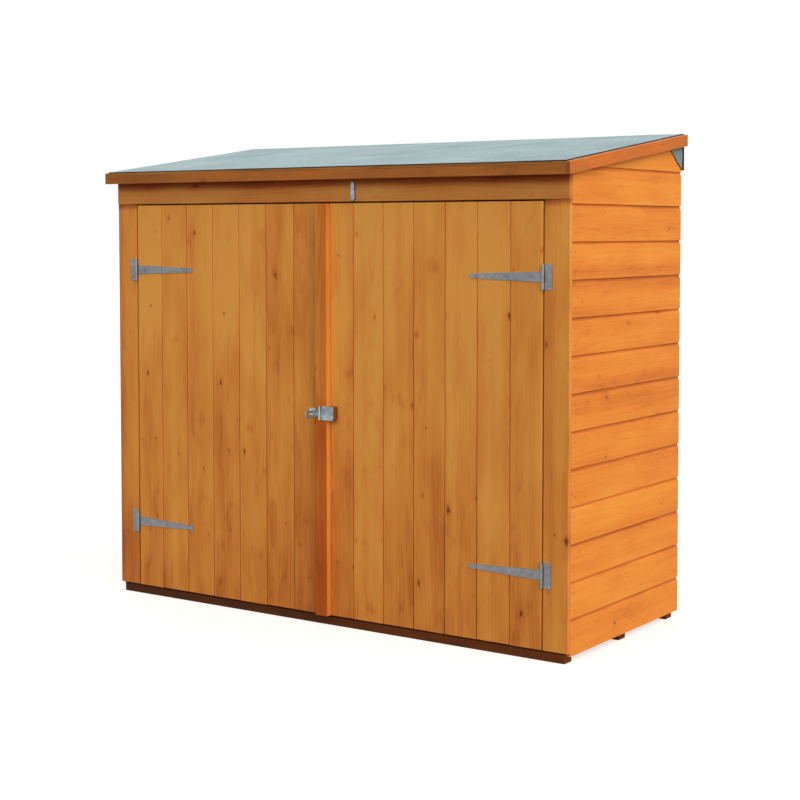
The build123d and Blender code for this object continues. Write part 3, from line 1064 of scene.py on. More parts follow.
@dataclass
class ShiplapWall:
    """A wall of shiplap: each board coved along its upper edge, with the next one's lip over the cove."""

    node: str
    outward: Vector
    roof: RoofPlane
    seed: int
    pitch: float = 113 * MM
    cove_depth: float = 4.5 * MM
    cove_height: float = 12 * MM
    cove_profile: float = 0.13
    cove_segments: int = 7
    # Stain in the cove, which also paints the shade under the next board's lip
    cove_stain: float = 0.85
    cove_reach: float = 1.5
    arris: float = 0.6 * MM
    sharp_angle: float = 60.0
    nail_shares: Sequence[float] = (0.24, 0.70)
    nail_strays: tuple[float, float] = (4 * MM, 3 * MM)
    nail_margin: float = 60 * MM
    stud_gap: float = 100 * MM
    play: float = 0.5 * MM
    stain: float = 0.33
    spread: float = 0.15
    low: Vector = field(init=False)
    high: Vector = field(init=False)
    face: float = field(init=False)
    along: Vector = field(init=False)
    draw: random.Random = field(init=False)

    def __post_init__(self) -> None:
        """Reads the wall's place and sets its draws."""
        self.low, self.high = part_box(self.node)
        self.draw = random.Random(self.seed)
        self.face = max(self.low.dot(self.outward), self.high.dot(self.outward))
        self.along = WORLD_Y if self.outward.x else WORLD_X

    def model_board(self) -> Piece:
        """Models the lowest board: a plank whose upper outer edge is hollowed by a cove.

        The plank starts too thick, so that a plain bevel is as deep as it is tall, and is then pressed flat.

        Returns:
            The board.
        """
        stretch = self.cove_height / self.cove_depth
        high = Vector((self.high.x, self.high.y, self.low.z + self.pitch))
        board = add_block("shiplap_board", self.low, high)
        thickened = Vector((1, 1, 1)) + Vector(map(abs, self.outward)) * (stretch - 1)
        centre = self.outward * self.face
        flattened = Vector(1 / share for share in thickened)
        with editing(board, "EDGE") as mesh:
            bpy.ops.mesh.select_all(action="SELECT")
            bpy.ops.transform.resize(value=thickened, center_override=centre)
            bpy.ops.mesh.select_all(action="DESELECT")
            pick_edges(
                mesh,
                lambda middle, direction: abs(direction.dot(self.along)) > STRAIGHT
                and middle.z > high.z - NEAR
                and middle.dot(self.outward) > self.face - NEAR,
            )
            bpy.ops.mesh.bevel(
                offset=self.cove_height, segments=self.cove_segments, profile=self.cove_profile
            )
            bpy.ops.mesh.select_all(action="SELECT")
            bpy.ops.transform.resize(value=flattened, center_override=centre)
        ease(board, self.arris, segments=1, angle=self.sharp_angle)
        return board

    def joint_stain(self, places: np.ndarray) -> np.ndarray:
        """The stain that ran into a cove, with painted shade under the lip above it, by how far its points
        lie behind the wall's face.
        """
        behind = (self.face - places @ np.array(self.outward)) / self.cove_depth
        # Stain and painted shade, deepest at the back of the cove
        return self.cove_stain * np.where(behind < self.cove_reach, np.clip(behind, 0, 1), 0)

    def build(self) -> Piece:
        """Copies the board up the wall and cuts the top ones to the roof.

        Returns:
            The boards, as one piece.
        """
        pattern = self.model_board()
        boards = []
        count = math.ceil((self.high.z - self.low.z) / self.pitch)
        for number in range(count):
            shift = self.outward * self.draw.uniform(-self.play, 0) + WORLD_Z * self.pitch * number
            board = copy_piece(pattern, "shiplap_board", shift)
            stain = self.stain + self.draw.uniform(-self.spread, self.spread)
            mark_grain(board, self.draw, stain, self.along, self.joint_stain)
            if self.low.z + (number + 1) * self.pitch > self.roof.height(self.low.y):
                cut_above(board, self.roof.front, self.roof.normal)
            if board.data.polygons:
                boards.append(board)
            else:
                bpy.data.objects.remove(board)
        bpy.data.objects.remove(pattern)
        return join(boards, f"{self.node}_boards")

    def supports(self) -> list[float]:
        """Finds the posts and studs behind the boards.

        Returns:
            Their middles along the wall, in order.
        """
        axis = 1 if self.along == WORLD_Y else 0
        middles = []
        for node in ("corner_posts", "side_wall_studs" if axis else "back_wall_studs"):
            edges = np.unique(corners(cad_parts[node])[:, axis])
            posts = np.split(edges, np.flatnonzero(np.diff(edges) > self.stud_gap) + 1)
            middles += [float(post[0] + post[-1]) / 2 for post in posts]
        return sorted(middles)

    def nail_places(self) -> list[Vector]:
        """Puts two nails in each board at each post and stud behind it.

        Returns:
            The nails' places on the wall's face.
        """
        places = []
        across_stray, upward_stray = self.nail_strays
        for number in range(math.floor((self.high.z - self.low.z) / self.pitch)):
            for support in self.supports():
                for share in self.nail_shares:
                    stray = self.draw.uniform(-upward_stray, upward_stray)
                    height = self.low.z + (number + share) * self.pitch + stray
                    across = support + self.draw.uniform(-across_stray, across_stray)
                    eaves = self.roof.height(across if self.along == WORLD_Y else self.high.y)
                    if height < eaves - self.nail_margin:
                        places.append(self.outward * self.face + self.along * across + WORLD_Z * height)
        return places

    def dress(self, dresser: Dresser, fixings: Fixings) -> None:
        """Builds and settles the wall and its nails.

        Args:
            dresser: What dresses the pieces.
            fixings: What models the nails.
        """
        dresser.settle(self.build(), Body.STORE, Slot.SHIPLAP, self.node)
        nail = fixings.nail(fixings.nail_radius, fixings.nail_proud)
        nails = fixings.set_rows(nail, f"{self.node}_nails", self.nail_places(), self.outward)
        dresser.settle(nails, Body.STORE, Slot.STEEL, material=dresser.nails)


@dataclass
class Framing:
    """Posts, rails, studs and purlins behind the cladding, with eased edges."""

    nodes: Sequence[str] = (
        "corner_posts",
        "bottom_rails",
        "top_rails",
        "side_wall_studs",
        "back_wall_studs",
        "head_rail",
        "roof_purlins",
    )
    arris: float = 1.5 * MM
    stain: float = 0.4
    spread: float = 0.2
    draw: random.Random = seeded(23)

    def dress(self, dresser: Dresser) -> None:
        """Builds and settles the framing timbers.

        Args:
            dresser: What dresses the pieces.
        """
        for node in self.nodes:
            timber = copy_eased(node, f"{node}_timber", self.arris)
            timber = mark_boards(timber, self.draw, self.stain, self.spread)
            dresser.settle(timber, Body.STORE, Slot.FRAMING, node)


@dataclass
class FrontFrame:
    """Jambs beside the doors and the header over them."""

    arris: float = 1.2 * MM
    # Painted shadow of the header on the jamb tops: a dark band that fades out below
    pool_height: float = 5 * MM
    pool_fade: float = 24 * MM
    pool_stain: float = 0.95
    # Painted shadow of the fascia on the top of the header: a dark band that fades out below
    eaves_height: float = 14 * MM
    eaves_fade: float = 32 * MM
    eaves_stain: float = 0.5
    foot_height: float = 360 * MM
    left_stain: float = 0.42
    left_drained: float = 0.35
    left_soaked: float = 0.5
    right_stain: float = 0.41
    right_drained: float = 0.08
    header_stain: float = 0.34
    draw: random.Random = seeded(31)

    def build_jamb(self, node: str, stain: float, drained: float, soaked: float) -> Piece:
        """Copies a jamb, and scores it where the painted shadow under the header ends and where the foot
        soaked in stain.

        Args:
            node: The jamb's node.
            stain: Its middle stain.
            drained: How much more stain it has at its foot than at its top.
            soaked: How much stain the end grain at its foot drank besides.

        Returns:
            The jamb, with its grain marked.
        """
        jamb = copy_eased(node, f"{node}_board", self.arris)
        foot, top = (corner.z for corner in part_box(node))
        header_shadow_line = top - self.pool_height
        score(jamb, WORLD_Z, (header_shadow_line, top - self.pool_fade, foot + self.foot_height))

        def run_stain(places: np.ndarray) -> np.ndarray:
            """Stains the jamb by height, with a painted shadow under the header.

            Args:
                places: The jamb's points.

            Returns:
                The painted shadow under the header, and the stain that soaked in and drained, at each point.
            """
            heights = places[:, 2]
            # Painted shadow: dark at the top of the jamb, under the header
            darkened = self.pool_stain * (heights > header_shadow_line - MERGE)
            drank = soaked * np.clip(1 - (heights - foot) / self.foot_height, 0, 1)
            return darkened + drank + drained * drain(heights, foot, top)

        mark_grain(jamb, self.draw, stain, WORLD_Z, run_stain)
        return jamb

    def build_header(self) -> Piece:
        """Copies the header, and scores it where the painted shadow under the fascia ends.

        Returns:
            The header, with its grain marked.
        """
        header = copy_eased("header", "header_board", self.arris)
        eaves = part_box("fascia")[0].z
        edge = eaves - self.eaves_height
        score(header, WORLD_Z, (edge, eaves - self.eaves_fade))

        def gather_stain(places: np.ndarray) -> np.ndarray:
            """Painted shadow of the fascia, above the edge."""
            # Painted shadow under the fascia
            return self.eaves_stain * (places[:, 2] > edge - MERGE)

        mark_grain(header, self.draw, self.header_stain, WORLD_X, gather_stain)
        return header

    def dress(self, dresser: Dresser) -> None:
        """Builds and settles the front frame.

        Args:
            dresser: What dresses the pieces.
        """
        left = self.build_jamb("left_jamb", self.left_stain, self.left_drained, self.left_soaked)
        dresser.settle(left, Body.STORE, Slot.DOOR, "left_jamb")
        right = self.build_jamb("right_jamb", self.right_stain, self.right_drained, 0.0)
        dresser.settle(right, Body.STORE, Slot.DOOR, "right_jamb")
        dresser.settle(self.build_header(), Body.STORE, Slot.TRIM, "header", material=dresser.header)


@dataclass
class Roof:
    """Roof boards, the fascia and barge boards round them, and the felt over the top."""

    roof: RoofPlane
    board_width: float = 98 * MM
    board_gap: float = 1.0 * MM
    arris: float = 1.5 * MM
    felt_thickness: float = 3 * MM
    felt_columns: int = 64
    felt_rows: int = 28
    felt_wave: float = 1.6 * MM
    wave_length: float = 260 * MM
    fold_radius: float = 5 * MM
    fold_segments: int = 4
    ear_length: float = 96 * MM
    # How much darker the folded ears are, as a share of bitumen colour mixed into their grit
    ear_core: float = 0.4
    edge_lean: float = 0.7  # least part of a cut edge's normal that points out of the sheet's side
    under_lean: float = 0.3  # least part of the underside's normal that points down
    board_stains: tuple[float, float] = (0.2, 0.6)
    fascia_stain: float = 0.96
    # How much darker the fascia is at its left end, fading out over the length below
    fascia_soaked: float = 0.4
    soak_length: float = 520 * MM
    barge_stain: float = 0.59
    end_stain: float = 0.7
    front_stain: float = 1.1
    clout_pitch: float = 150 * MM
    clout_share: float = 0.4
    clout_stray: float = 1.5 * MM
    draw: random.Random = seeded(47)

    def build_boards(self) -> Piece:
        """Saws the roof's slab into boards that run from barge to barge.

        Returns:
            The boards, as one piece.
        """
        low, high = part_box("roof_boards")
        boards = []
        for start, end in split_run(low.y, high.y, self.board_width, self.board_gap):
            board = copy_node("roof_boards", "roof_board")
            cut_above(board, WORLD_Y * start, -WORLD_Y)
            cut_above(board, WORLD_Y * end, WORLD_Y)
            ease(board, self.board_gap)
            stain = self.draw.uniform(*self.board_stains)
            mark_grain(board, self.draw, stain, WORLD_X, self.edge_stain)
            boards.append(board)
        return join(boards, "roof_planks")

    def edge_stain(self, places: np.ndarray) -> np.ndarray:
        """The stain on the front edge of the roof boards, brushed on with the fascia's."""
        behind = places[:, 1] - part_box("roof_boards")[0].y
        return self.front_stain * (behind < 2 * self.arris)

    def lay_felt(self) -> Piece:
        """Lays the felt on the roof boards as a sheet without thickness, turned down over the back edge.

        Returns:
            The sheet.
        """
        low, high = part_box("roof_felt")
        back = high.y - self.felt_thickness
        run = back - low.y
        middle = low.y + run / 2
        boards_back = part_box("roof_boards")[1]
        lift = boards_back.z - self.roof.height(boards_back.y)
        top = self.roof.height(back) + lift
        felt = add_primitive(
            bpy.ops.mesh.primitive_grid_add,
            "felt_sheet",
            scale=(high.x - low.x, run / math.cos(self.roof.slope), 1),
            x_subdivisions=self.felt_columns,
            y_subdivisions=self.felt_rows,
            size=1,
            location=(0, middle, self.roof.height(middle) + lift),
            rotation=(self.roof.slope, 0, 0),
        )
        with editing(felt, "EDGE") as mesh:
            pick_edges(mesh, lambda place, way: place.y > back - NEAR and abs(way.x) > STRAIGHT)
            bpy.ops.mesh.extrude_region_move(TRANSFORM_OT_translate={"value": WORLD_Z * (low.z - top)})
        with editing(felt, "EDGE") as mesh:
            pick_edges(
                mesh,
                lambda place, way: place.y > back - NEAR
                and place.z > top - NEAR
                and abs(way.x) > STRAIGHT,
            )
            bpy.ops.mesh.bevel(offset=self.fold_radius, segments=self.fold_segments)
        return felt

    def build_felt(self) -> Piece:
        """Lays the felt, makes it uneven and gives it its thickness and its ears.

        Returns:
            The felt, as one piece.
        """
        felt = self.lay_felt()
        clouds = bpy.data.textures.new("felt waves", "CLOUDS")
        clouds.noise_scale = self.wave_length
        modify(felt, "waves", "DISPLACE", texture=clouds, strength=self.felt_wave, mid_level=0.0)
        modify(felt, "sheet", "SOLIDIFY", thickness=self.felt_thickness, offset=1)
        smooth(felt)
        self.mark_core(felt, self.is_hidden_or_cut, 0.0)
        return join([felt, *self.build_ears()], "felt_sheet")

    def is_hidden_or_cut(self, normal: Vector) -> bool:
        """Whether a face of the felt is its underside or a cut edge at the front or a side."""
        cut = normal.y < -self.edge_lean or abs(normal.x) > self.edge_lean
        return cut or normal.z < -self.under_lean

    def mark_core(self, sheet: Piece, cut: Callable[[Vector], bool], other_faces_core: float) -> None:
        """Marks how much of the bitumen core shows: all at cut edges, and a given share on the other faces,
        which darkens the ears.

        Args:
            sheet: The felt, or a folded corner of it.
            cut: Whether a face is bare of grit, by its normal.
            other_faces_core: How much shows on the other faces.
        """
        core = sheet.data.attributes.new("core", "FLOAT", "FACE")
        for face, mark in zip(sheet.data.polygons, core.data):
            mark.value = 1.0 if cut(face.normal) else other_faces_core

    def build_ears(self) -> list[Piece]:
        """Folds the felt's back corners flat against the side walls, as two triangles.

        Returns:
            The left ear and the right one.
        """
        low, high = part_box("roof_felt")
        barge = corners(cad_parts["right_barge_board"])
        barge_back = barge[:, 1].max()
        barge_under = barge[np.isclose(barge[:, 1], barge_back), 2].min()
        wall_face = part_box("right_wall_cladding")[1].x
        tip_y = high.y - self.ear_length
        tip = Vector((0, tip_y, barge_under - (barge_back - tip_y) * math.tan(self.roof.slope)))
        foot = Vector((0, high.y, low.z))
        edge = tip - foot
        ears = []
        for sign in (-1, 1):
            inner, outer = sorted((sign * wall_face, sign * (wall_face + self.felt_thickness)))
            ear = add_block("felt_ear", Vector((inner, tip_y, low.z)), Vector((outer, high.y, barge_under)))
            cut_above(ear, Vector((0, barge_back, barge_under)), self.roof.normal)
            cut_above(ear, foot, Vector((0, -edge.z, edge.y)))
            self.mark_core(ear, lambda normal: abs(normal.x) < self.edge_lean, self.ear_core)
            ears.append(ear)
        return ears

    def clout_places(self, felt: Piece) -> list[Vector]:
        """Puts a row of nails in the felt's turned-down back edge.

        Args:
            felt: The felt, whose face is uneven.

        Returns:
            The nails' places on that face.
        """
        low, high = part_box("roof_felt")
        count = round((high.x - low.x) / self.clout_pitch)
        top = self.roof.height(high.y)
        height = low.z + (top - low.z) * self.clout_share
        places = []
        for number in range(count):
            across = low.x + (high.x - low.x) * (number + 0.5) / count
            stray = self.draw.uniform(-self.clout_stray, self.clout_stray)
            start = Vector((across, high.y + self.clout_pitch, height + stray))
            places.append(felt.ray_cast(start, -WORLD_Y)[1])
        return places

    def soak_ends(self, places: np.ndarray) -> np.ndarray:
        """The stain that the end grain of a barge board drank."""
        depth = places[:, 1]
        return self.end_stain * (np.isclose(depth, depth.min()) | np.isclose(depth, depth.max()))

    def soak_fascia(self, places: np.ndarray) -> np.ndarray:
        """How much darker the fascia is towards its left end."""
        run = places[:, 0] - places[:, 0].min()
        return self.fascia_soaked * np.clip(1 - run / self.soak_length, 0, 1)

    def dress(self, dresser: Dresser, fixings: Fixings) -> None:
        """Builds and settles the roof.

        Args:
            dresser: What dresses the pieces.
            fixings: What models the nails.
        """
        dresser.settle(self.build_boards(), Body.STORE, Slot.FRAMING, "roof_boards")
        rake = Vector((0, math.cos(self.roof.slope), math.sin(self.roof.slope)))
        for node, stain, along, soaked in (
            ("fascia", self.fascia_stain, WORLD_X, self.soak_fascia),
            ("left_barge_board", self.barge_stain, rake, self.soak_ends),
            ("right_barge_board", self.barge_stain, rake, self.soak_ends),
        ):
            board = copy_eased(node, f"{node}_trim", self.arris)
            if along == WORLD_X:
                score(board, WORLD_X, [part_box(node)[0].x + self.soak_length])
            mark_grain(board, self.draw, stain, along, soaked)
            dresser.settle(board, Body.STORE, Slot.TRIM, node)
        felt = self.build_felt()
        dresser.settle(felt, Body.STORE, Slot.FELT, "roof_felt")
        clout = fixings.nail(fixings.clout_radius, fixings.clout_proud)
        clouts = fixings.set_rows(clout, "felt_clout_nails", self.clout_places(felt), WORLD_Y)
        dresser.settle(clouts, Body.STORE, Slot.STEEL)


@dataclass
class DoorLeaf:
    """One door: matched boards with a V joint between them, on three ledges and two braces."""

    side: Side
    seed: int
    board_width: float = 117.8 * MM
    board_count: int = 6
    chamfer: float = 2.0 * MM
    gap: float = 1.0 * MM
    tongue_share: float = 0.3
    # Stain in the V joints, which also paints the shade in them
    joint_stain: float = 1.0
    joint_start: float = 0.4
    joint_reach: float = 2.0
    # Door boards are darker towards the foot and paler towards the top
    drained_stain: float = 0.58
    play: float = 0.35 * MM
    uneven: float = 1.5 * MM
    board_arris: float = 0.5 * MM
    sharp_angle: float = 50.0
    arris: float = 1.2 * MM
    stain: float = 0.35
    spread: float = 0.16
    ledge_stain: float = 0.4
    ledge_spread: float = 0.12
    name: str = field(init=False)
    body: Body = field(init=False)
    draw: random.Random = field(init=False)

    def __post_init__(self) -> None:
        """Names the leaf's body and sets its draws."""
        self.name = f"{self.side.word}_door"
        self.body = Body(self.name)
        self.draw = random.Random(self.seed)

    def build_boards(self) -> Piece:
        """Models the leaf's boards side by side, each chamfered at its joints.

        Returns:
            The boards, as one piece.
        """
        low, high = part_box(f"{self.name}_boards")
        jamb_low, jamb_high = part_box(f"{self.side.word}_jamb")
        jamb_edge = jamb_high.x if self.side is Side.LEFT else jamb_low.x
        away = -self.side.value * self.board_width
        joints = [jamb_edge + away * (number + 1) for number in range(self.board_count)]
        edges = sorted([low.x, high.x, *joints])
        boards = []
        for start, end in pairwise(edges):
            foot = low.z + self.draw.uniform(0, self.uneven)
            first = Vector((start + self.gap / 2, low.y, foot))
            last = Vector((end - self.gap / 2, high.y, high.z))
            board = add_block(f"{self.name}_board", first, last)
            with editing(board, "EDGE") as mesh:
                pick_edges(mesh, lambda middle, way: abs(way.z) > STRAIGHT and middle.y < low.y + NEAR)
                bpy.ops.mesh.bevel(offset=self.chamfer, segments=1)
            ease(board, self.board_arris, segments=1, angle=self.sharp_angle)
            if end < edges[-1]:
                self.add_tongue(board, low.y, high.y)
            board.data.transform(Matrix.Translation((0, self.draw.uniform(0, self.play), 0)))
            stain = self.stain + self.draw.uniform(-self.spread, self.spread)
            mark_grain(board, self.draw, stain, WORLD_Z, lambda places: self.run_stain(places, low, high))
            boards.append(board)
        return join(boards, f"{self.name}_planks")

    def add_tongue(self, board: Piece, front: float, back: float) -> None:
        """Extrudes a tongue from the middle of a board's right edge, to close the joint to the next board.

        Args:
            board: The board, whose mesh changes.
            front: The depth of its face.
            back: The depth of its back.
        """
        middle = (front + back) / 2
        half = (back - front) * self.tongue_share / 2
        for depth in (middle - half, middle + half):
            with editing(board, "FACE") as mesh:
                pick_faces(mesh, lambda place, normal: normal.x > STRAIGHT)
                bpy.ops.mesh.bisect(plane_co=WORLD_Y * depth, plane_no=WORLD_Y)
        with editing(board, "FACE") as mesh:
            pick_faces(mesh, lambda place, normal: normal.x > STRAIGHT and abs(place.y - middle) < half)
            bpy.ops.mesh.extrude_region_move(TRANSFORM_OT_translate={"value": WORLD_X * self.gap})

    def run_stain(self, places: np.ndarray, low: Vector, high: Vector) -> np.ndarray:
        """The stain and painted shade in the joints behind the leaf's face, and a tone that is darker towards
        the foot of its boards and paler towards the top.

        Args:
            places: The points of a board.
            low: The low corner of all the leaf's boards.
            high: Their high corner.

        Returns:
            The stain at each point.
        """
        behind = (places[:, 1] - low.y) / self.chamfer
        inside = np.minimum(places[:, 0] - low.x, high.x - places[:, 0]) > self.joint_reach * self.chamfer
        darkened = np.where(inside & (behind < self.joint_reach), np.clip(behind - self.joint_start, 0, 1), 0)
        return self.joint_stain * darkened + self.drained_stain * drain(places[:, 2], low.z, high.z)

    def brace_grain(self) -> Vector:
        """Finds the way that the leaf's braces run, up and away from the hinges.

        Returns:
            Their direction.
        """
        low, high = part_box(f"{self.name}_braces")
        rise = (high.z - low.z) / 2
        return Vector((-self.side.value * (high.x - low.x), 0, rise))

    def dress(self, dresser: Dresser) -> None:
        """Builds and settles the leaf.

        Args:
            dresser: What dresses the pieces.
        """
        dresser.settle(self.build_boards(), self.body, Slot.DOOR, f"{self.name}_boards")
        for part, along in (("ledges", WORLD_X), ("braces", self.brace_grain())):
            node = f"{self.name}_{part}"
            timber = copy_eased(node, f"{node}_timber", self.arris)
            timber = mark_boards(timber, self.draw, self.ledge_stain, self.ledge_spread, along)
            dresser.settle(timber, self.body, Slot.FRAMING, node)


@dataclass
class CoverStrip:
    """The strip over the meeting of the doors, and the packer beside it under the hasp's plate, stained dark
    as a painted shadow of the plate.
    """

    arris: float = 2.0 * MM
    strip_stain: float = 0.70
    below_stain: float = 0.24
    change_height: float = 60 * MM
    # Planed edges take up less stain, and are painted paler still, as painted light against the door's shade
    edge_stain: float = -0.62
    edge_drained: float = 0.08
    # Painted shadow: the packer is stained as dark as a knot, so that it reads as the plate's shadow
    packer_stain: float = 1.8
    hasp_height: float = field(init=False)
    draw: random.Random = seeded(59)

    def __post_init__(self) -> None:
        """Reads the height of the hasp, where the strip's stain changes."""
        low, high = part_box("hasp_plate")
        self.hasp_height = (low.z + high.z) / 2

    def run_stain(self, places: np.ndarray) -> np.ndarray:
        """Stains the strip: more below the hasp than above it, and little on its planed edges, which are also
        painted paler against the shade that the door casts on them.

        Args:
            places: The strip's points.

        Returns:
            The stain at each point, besides the strip's own.
        """
        across, heights = places[:, 0], places[:, 2]
        edges = np.isclose(across, across.min()) | np.isclose(across, across.max())
        below = np.clip((self.hasp_height - heights) / self.change_height, -1, 1)
        drained = self.edge_drained * drain(heights, heights.min(), heights.max())
        return np.where(edges, self.edge_stain + drained, self.below_stain * below)

    def dress(self, dresser: Dresser) -> None:
        """Builds and settles the strip and the packer.

        Args:
            dresser: What dresses the pieces.
        """
        strip = copy_eased("cover_strip", "cover_strip_trim", self.arris)
        score(strip, WORLD_Z, (self.hasp_height - self.change_height, self.hasp_height + self.change_height))
        mark_grain(strip, self.draw, self.strip_stain, WORLD_Z, self.run_stain)
        dresser.settle(strip, Body.RIGHT_DOOR, Slot.TRIM, "cover_strip", material=dresser.strip)
        packer = copy_eased("hasp_packer", "hasp_packer_trim", self.arris)
        # Painted shadow of the hasp's plate
        mark_grain(packer, self.draw, self.packer_stain, WORLD_Z)
        dresser.settle(packer, Body.RIGHT_DOOR, Slot.TRIM, "hasp_packer")


@dataclass
class Ironmongery:
    """Hinges, hasp, staple and turn button, with softened edges, and the screws that hold them."""

    fixings: Fixings
    edge: float = 0.5 * MM
    strap_shares: Sequence[float] = (0.16, 0.52, 0.90)
    plate_column: float = 10 * MM
    plate_shares: Sequence[float] = (0.14, 0.86)
    hasp_columns: Sequence[float] = (0.38, 0.84)
    hasp_rows: Sequence[float] = (0.2, 0.8)
    staple_rows: Sequence[float] = (0.18, 0.82)
    staple_screw: float = 0.75

    def soften(self, dresser: Dresser, node: str, body: Body, material: Material | None = None) -> Piece:
        """Copies a steel node, softens its edges and settles it.

        Args:
            dresser: What dresses the part.
            node: The part's node.
            body: The body that carries it.
            material: A finish of its own, or nothing for dipped steel.

        Returns:
            The settled part.
        """
        part = copy_eased(node, f"{node}_steel", self.edge)
        smooth(part)
        dresser.settle(part, body, Slot.STEEL, node, material=material)
        return part

    def drive(
        self,
        dresser: Dresser,
        part: Piece,
        body: Body,
        columns: Sequence[float],
        rows: Sequence[float],
        size: float = 1.0,
    ) -> None:
        """Drives screws of a part's own finish into it from the front, where columns and rows meet.

        Args:
            dresser: What dresses the screws.
            part: The part that they hold.
            body: The body that carries it.
            columns: The columns' places across the store.
            rows: The rows' heights.
            size: The heads' size, as a share of the usual screw's.
        """
        front = corners(part)[:, 1].min() - self.edge
        starts = [Vector((across, front, height)) for across in columns for height in rows]
        places = [part.ray_cast(start, WORLD_Y)[1] for start in starts]
        name = part.name.replace("_steel", "_screws")
        screws = self.fixings.set_rows(self.fixings.screw(size), name, places, -WORLD_Y)
        dresser.settle(screws, body, Slot.STEEL, material=part.data.materials[0])

    def hang(self, dresser: Dresser, side: Side, level: str) -> None:
        """Builds and settles one T-hinge and its screws.

        Args:
            dresser: What dresses the pieces.
            side: The side of the store that it is on.
            level: Its level, top or low.
        """
        hinge = f"{side.word}_{level}_hinge"
        body = Body(f"{side.word}_door")
        plate = self.soften(dresser, f"{hinge}_plate", Body.STORE)
        strap = self.soften(dresser, f"{hinge}_strap", body)
        low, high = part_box(f"{hinge}_strap")
        root, tip = (low.x, high.x) if side is Side.LEFT else (high.x, low.x)
        columns = spaced(root, tip, self.strap_shares)
        self.drive(dresser, strap, body, columns, [(low.z + high.z) / 2])
        low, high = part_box(f"{hinge}_plate")
        outer = low.x if side is Side.LEFT else high.x
        rows = spaced(low.z, high.z, self.plate_shares)
        self.drive(dresser, plate, Body.STORE, [outer - side.value * self.plate_column], rows)

    def hang_hasp(self, dresser: Dresser) -> None:
        """Builds and settles the hasp, its staple and their screws.

        Args:
            dresser: What dresses the pieces.
        """
        self.soften(dresser, "hasp_strap", Body.HASP, dresser.zinc)
        plate = self.soften(dresser, "hasp_plate", Body.RIGHT_DOOR, dresser.zinc)
        low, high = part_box("hasp_plate")
        columns = spaced(low.x, high.x, self.hasp_columns)
        rows = spaced(low.z, high.z, self.hasp_rows)
        self.drive(dresser, plate, Body.RIGHT_DOOR, columns, rows)
        staple = self.soften(dresser, "hasp_staple", Body.LEFT_DOOR, dresser.zinc)
        low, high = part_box("hasp_staple")
        rows = spaced(low.z, high.z, self.staple_rows)
        self.drive(dresser, staple, Body.LEFT_DOOR, [(low.x + high.x) / 2], rows, self.staple_screw)

    def set_button(self, dresser: Dresser) -> None:
        """Builds and settles the turn button, and the screw that it turns on.

        Args:
            dresser: What dresses the pieces.
        """
        button = self.soften(dresser, "turn_button", Body.TURN_BUTTON, dresser.zinc)
        low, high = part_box("turn_button_screw")
        middle = (low + high) / 2
        middle.y = corners(button)[:, 1].min()
        head = self.fixings.screw((high.x - low.x) / 2 / self.fixings.screw_radius)
        screw = self.fixings.set_rows(head, "turn_button_screw_steel", [middle], -WORLD_Y)
        dresser.settle(screw, Body.STORE, Slot.STEEL, "turn_button_screw", material=dresser.zinc)

    def dress(self, dresser: Dresser) -> None:
        """Builds and settles all the steel.

        Args:
            dresser: What dresses the pieces.
        """
        for side in Side:
            for level in ("top", "low"):
                self.hang(dresser, side, level)
        self.hang_hasp(dresser)
        self.set_button(dresser)


# Studio


@dataclass(frozen=True)
class Lamp:
    """A far, broad studio light, by the way it comes from in degrees."""

    name: str
    azimuth: float
    elevation: float
    level: float
    colour: str
    spread: float

    def place(self) -> None:
        """Adds the light, aimed at the store."""
        lamp = bpy.data.lights.new(self.name, "SUN")
        lamp.energy = self.level * math.pi
        lamp.color = linear(self.colour)[:3]
        lamp.angle = math.radians(self.spread)
        holder = bpy.data.objects.new(self.name, lamp)
        holder.rotation_euler = (math.radians(UPRIGHT - self.elevation), 0, math.radians(self.azimuth))
        bpy.context.scene.collection.objects.link(holder)


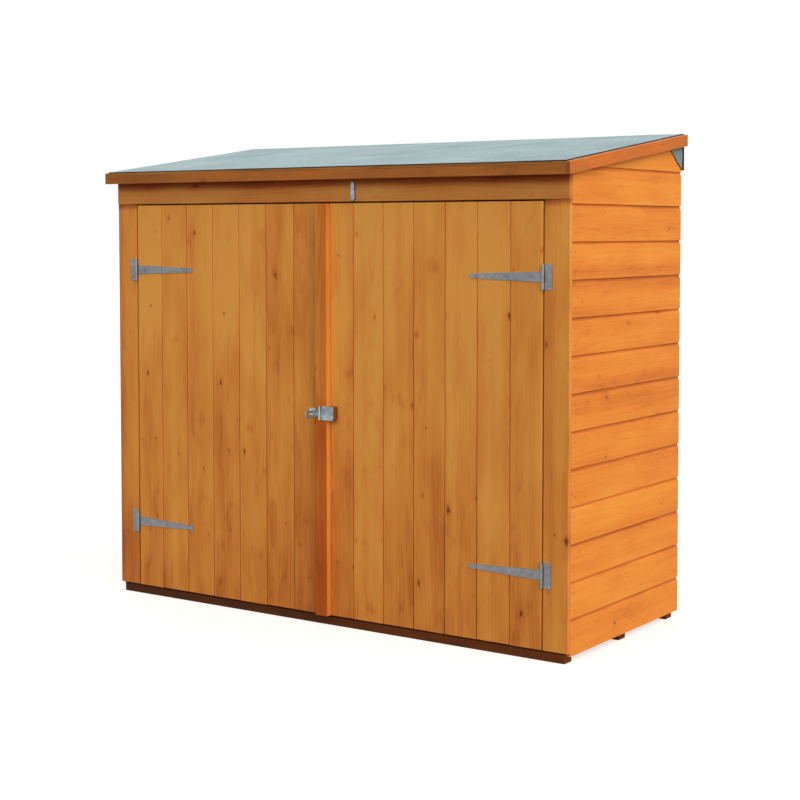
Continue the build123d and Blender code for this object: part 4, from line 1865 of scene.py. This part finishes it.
@dataclass(frozen=True)
class Studio:
    """White room with soft lights, and the photograph's camera."""

    camera_place: Vector = Vector((3.2586, -4.6553, 1.2977))
    camera_pitch: float = -3.11
    camera_turn: float = 34.63
    lens: float = 74.0
    sensor: float = 36.0
    shift_y: float = -0.1
    ambient: float = 0.34
    ambient_colour: str = "#F3F4F4"
    lamps: Sequence[Lamp] = (
        Lamp("key", azimuth=74, elevation=24, level=1.16, colour="#FFE9CF", spread=80),
        Lamp("fill", azimuth=-10, elevation=28, level=0.22, colour="#F6F6FA", spread=30),
        Lamp("back", azimuth=-140, elevation=18, level=0.5, colour="#F6F2EC", spread=60),
    )
    floor_size: float = 120.0
    floor_glow: float = 0.62
    floor_colour: str = "#CFCFCF"
    floor_bounced: str = "#5E5A54"

    def set_camera(self) -> None:
        """Adds the camera where the photograph was taken from."""
        camera = bpy.data.cameras.new("camera")
        camera.lens = self.lens
        camera.sensor_width = self.sensor
        camera.shift_y = self.shift_y
        holder = bpy.data.objects.new("camera", camera)
        holder.location = self.camera_place
        holder.rotation_euler = (math.radians(UPRIGHT + self.camera_pitch), 0, math.radians(self.camera_turn))
        bpy.context.scene.collection.objects.link(holder)
        bpy.context.scene.camera = holder

    def seen_directly(self, tree: Tree) -> Socket:
        """Tells what the camera sees from light that only bounces.

        Args:
            tree: The nodes of a material or of the world.

        Returns:
            One for what it sees, mirrored or through glass too, and zero for the rest.
        """
        paths = ("Is Camera Ray", "Is Glossy Ray", "Is Transmission Ray")
        seen = [add_node(tree, "LightPath", {}, path) for path in paths]
        either = add_node(tree, "Math", {0: seen[0], 1: seen[1]}, operation="MAXIMUM")
        return add_node(tree, "Math", {0: either, 1: seen[2]}, operation="MAXIMUM")

    def set_world(self) -> None:
        """Lights the room softly, and shows it white to the camera and in reflections."""
        world = bpy.data.worlds.new("white room")
        bpy.context.scene.world = world
        world.use_nodes = True
        tree = world.node_tree
        tree.nodes.clear()
        shown = add_node(tree, "Background", {"Color": linear(WHITE), "Strength": 1.0})
        light = add_node(tree, "Background", {"Color": linear(self.ambient_colour), "Strength": self.ambient})
        mixed = add_node(tree, "MixShader", {0: self.seen_directly(tree), 1: light, 2: shown})
        add_node(tree, "OutputWorld", {"Surface": mixed})

    def set_floor(self) -> None:
        """Lays a broad white floor that keeps the store's shadow."""
        floor = add_primitive(bpy.ops.mesh.primitive_plane_add, "studio_floor", size=self.floor_size)
        material, tree = new_material("matt white studio floor")
        glow = add_node(tree, "Emission", {"Color": linear(WHITE), "Strength": self.floor_glow})
        paint = add_node(tree, "BsdfDiffuse", {"Color": linear(self.floor_colour)})
        shown = add_node(tree, "AddShader", {0: glow, 1: paint})
        bounced = add_node(tree, "BsdfDiffuse", {"Color": linear(self.floor_bounced)})
        mixed = add_node(tree, "MixShader", {0: self.seen_directly(tree), 1: bounced, 2: shown})
        add_node(tree, "OutputMaterial", {"Surface": mixed})
        floor.data.materials.append(material)

    def set_up(self) -> None:
        """Sets camera, lights, world and floor."""
        self.set_camera()
        for lamp in self.lamps:
            lamp.place()
        self.set_world()
        self.set_floor()
        bpy.context.scene.view_settings.view_transform = "Standard"


def main() -> None:
    """Builds the store's looks piece by piece, and the studio round it."""
    logging.basicConfig(level=logging.INFO, format="%(name)s %(message)s")
    dresser = Dresser()
    fixings = Fixings()
    roof = RoofPlane.from_frame()
    Base().dress(dresser)
    for wall in (
        ShiplapWall("left_wall_cladding", -WORLD_X, roof, seed=101),
        ShiplapWall("right_wall_cladding", WORLD_X, roof, seed=102),
        ShiplapWall("back_wall_cladding", WORLD_Y, roof, seed=103),
    ):
        wall.dress(dresser, fixings)
    Framing().dress(dresser)
    FrontFrame().dress(dresser)
    Roof(roof).dress(dresser, fixings)
    for leaf in (DoorLeaf(Side.LEFT, seed=201), DoorLeaf(Side.RIGHT, seed=202)):
        leaf.dress(dresser)
    CoverStrip().dress(dresser)
    Ironmongery(fixings).dress(dresser)
    Studio().set_up()


if __name__ == "__main__":
    main()
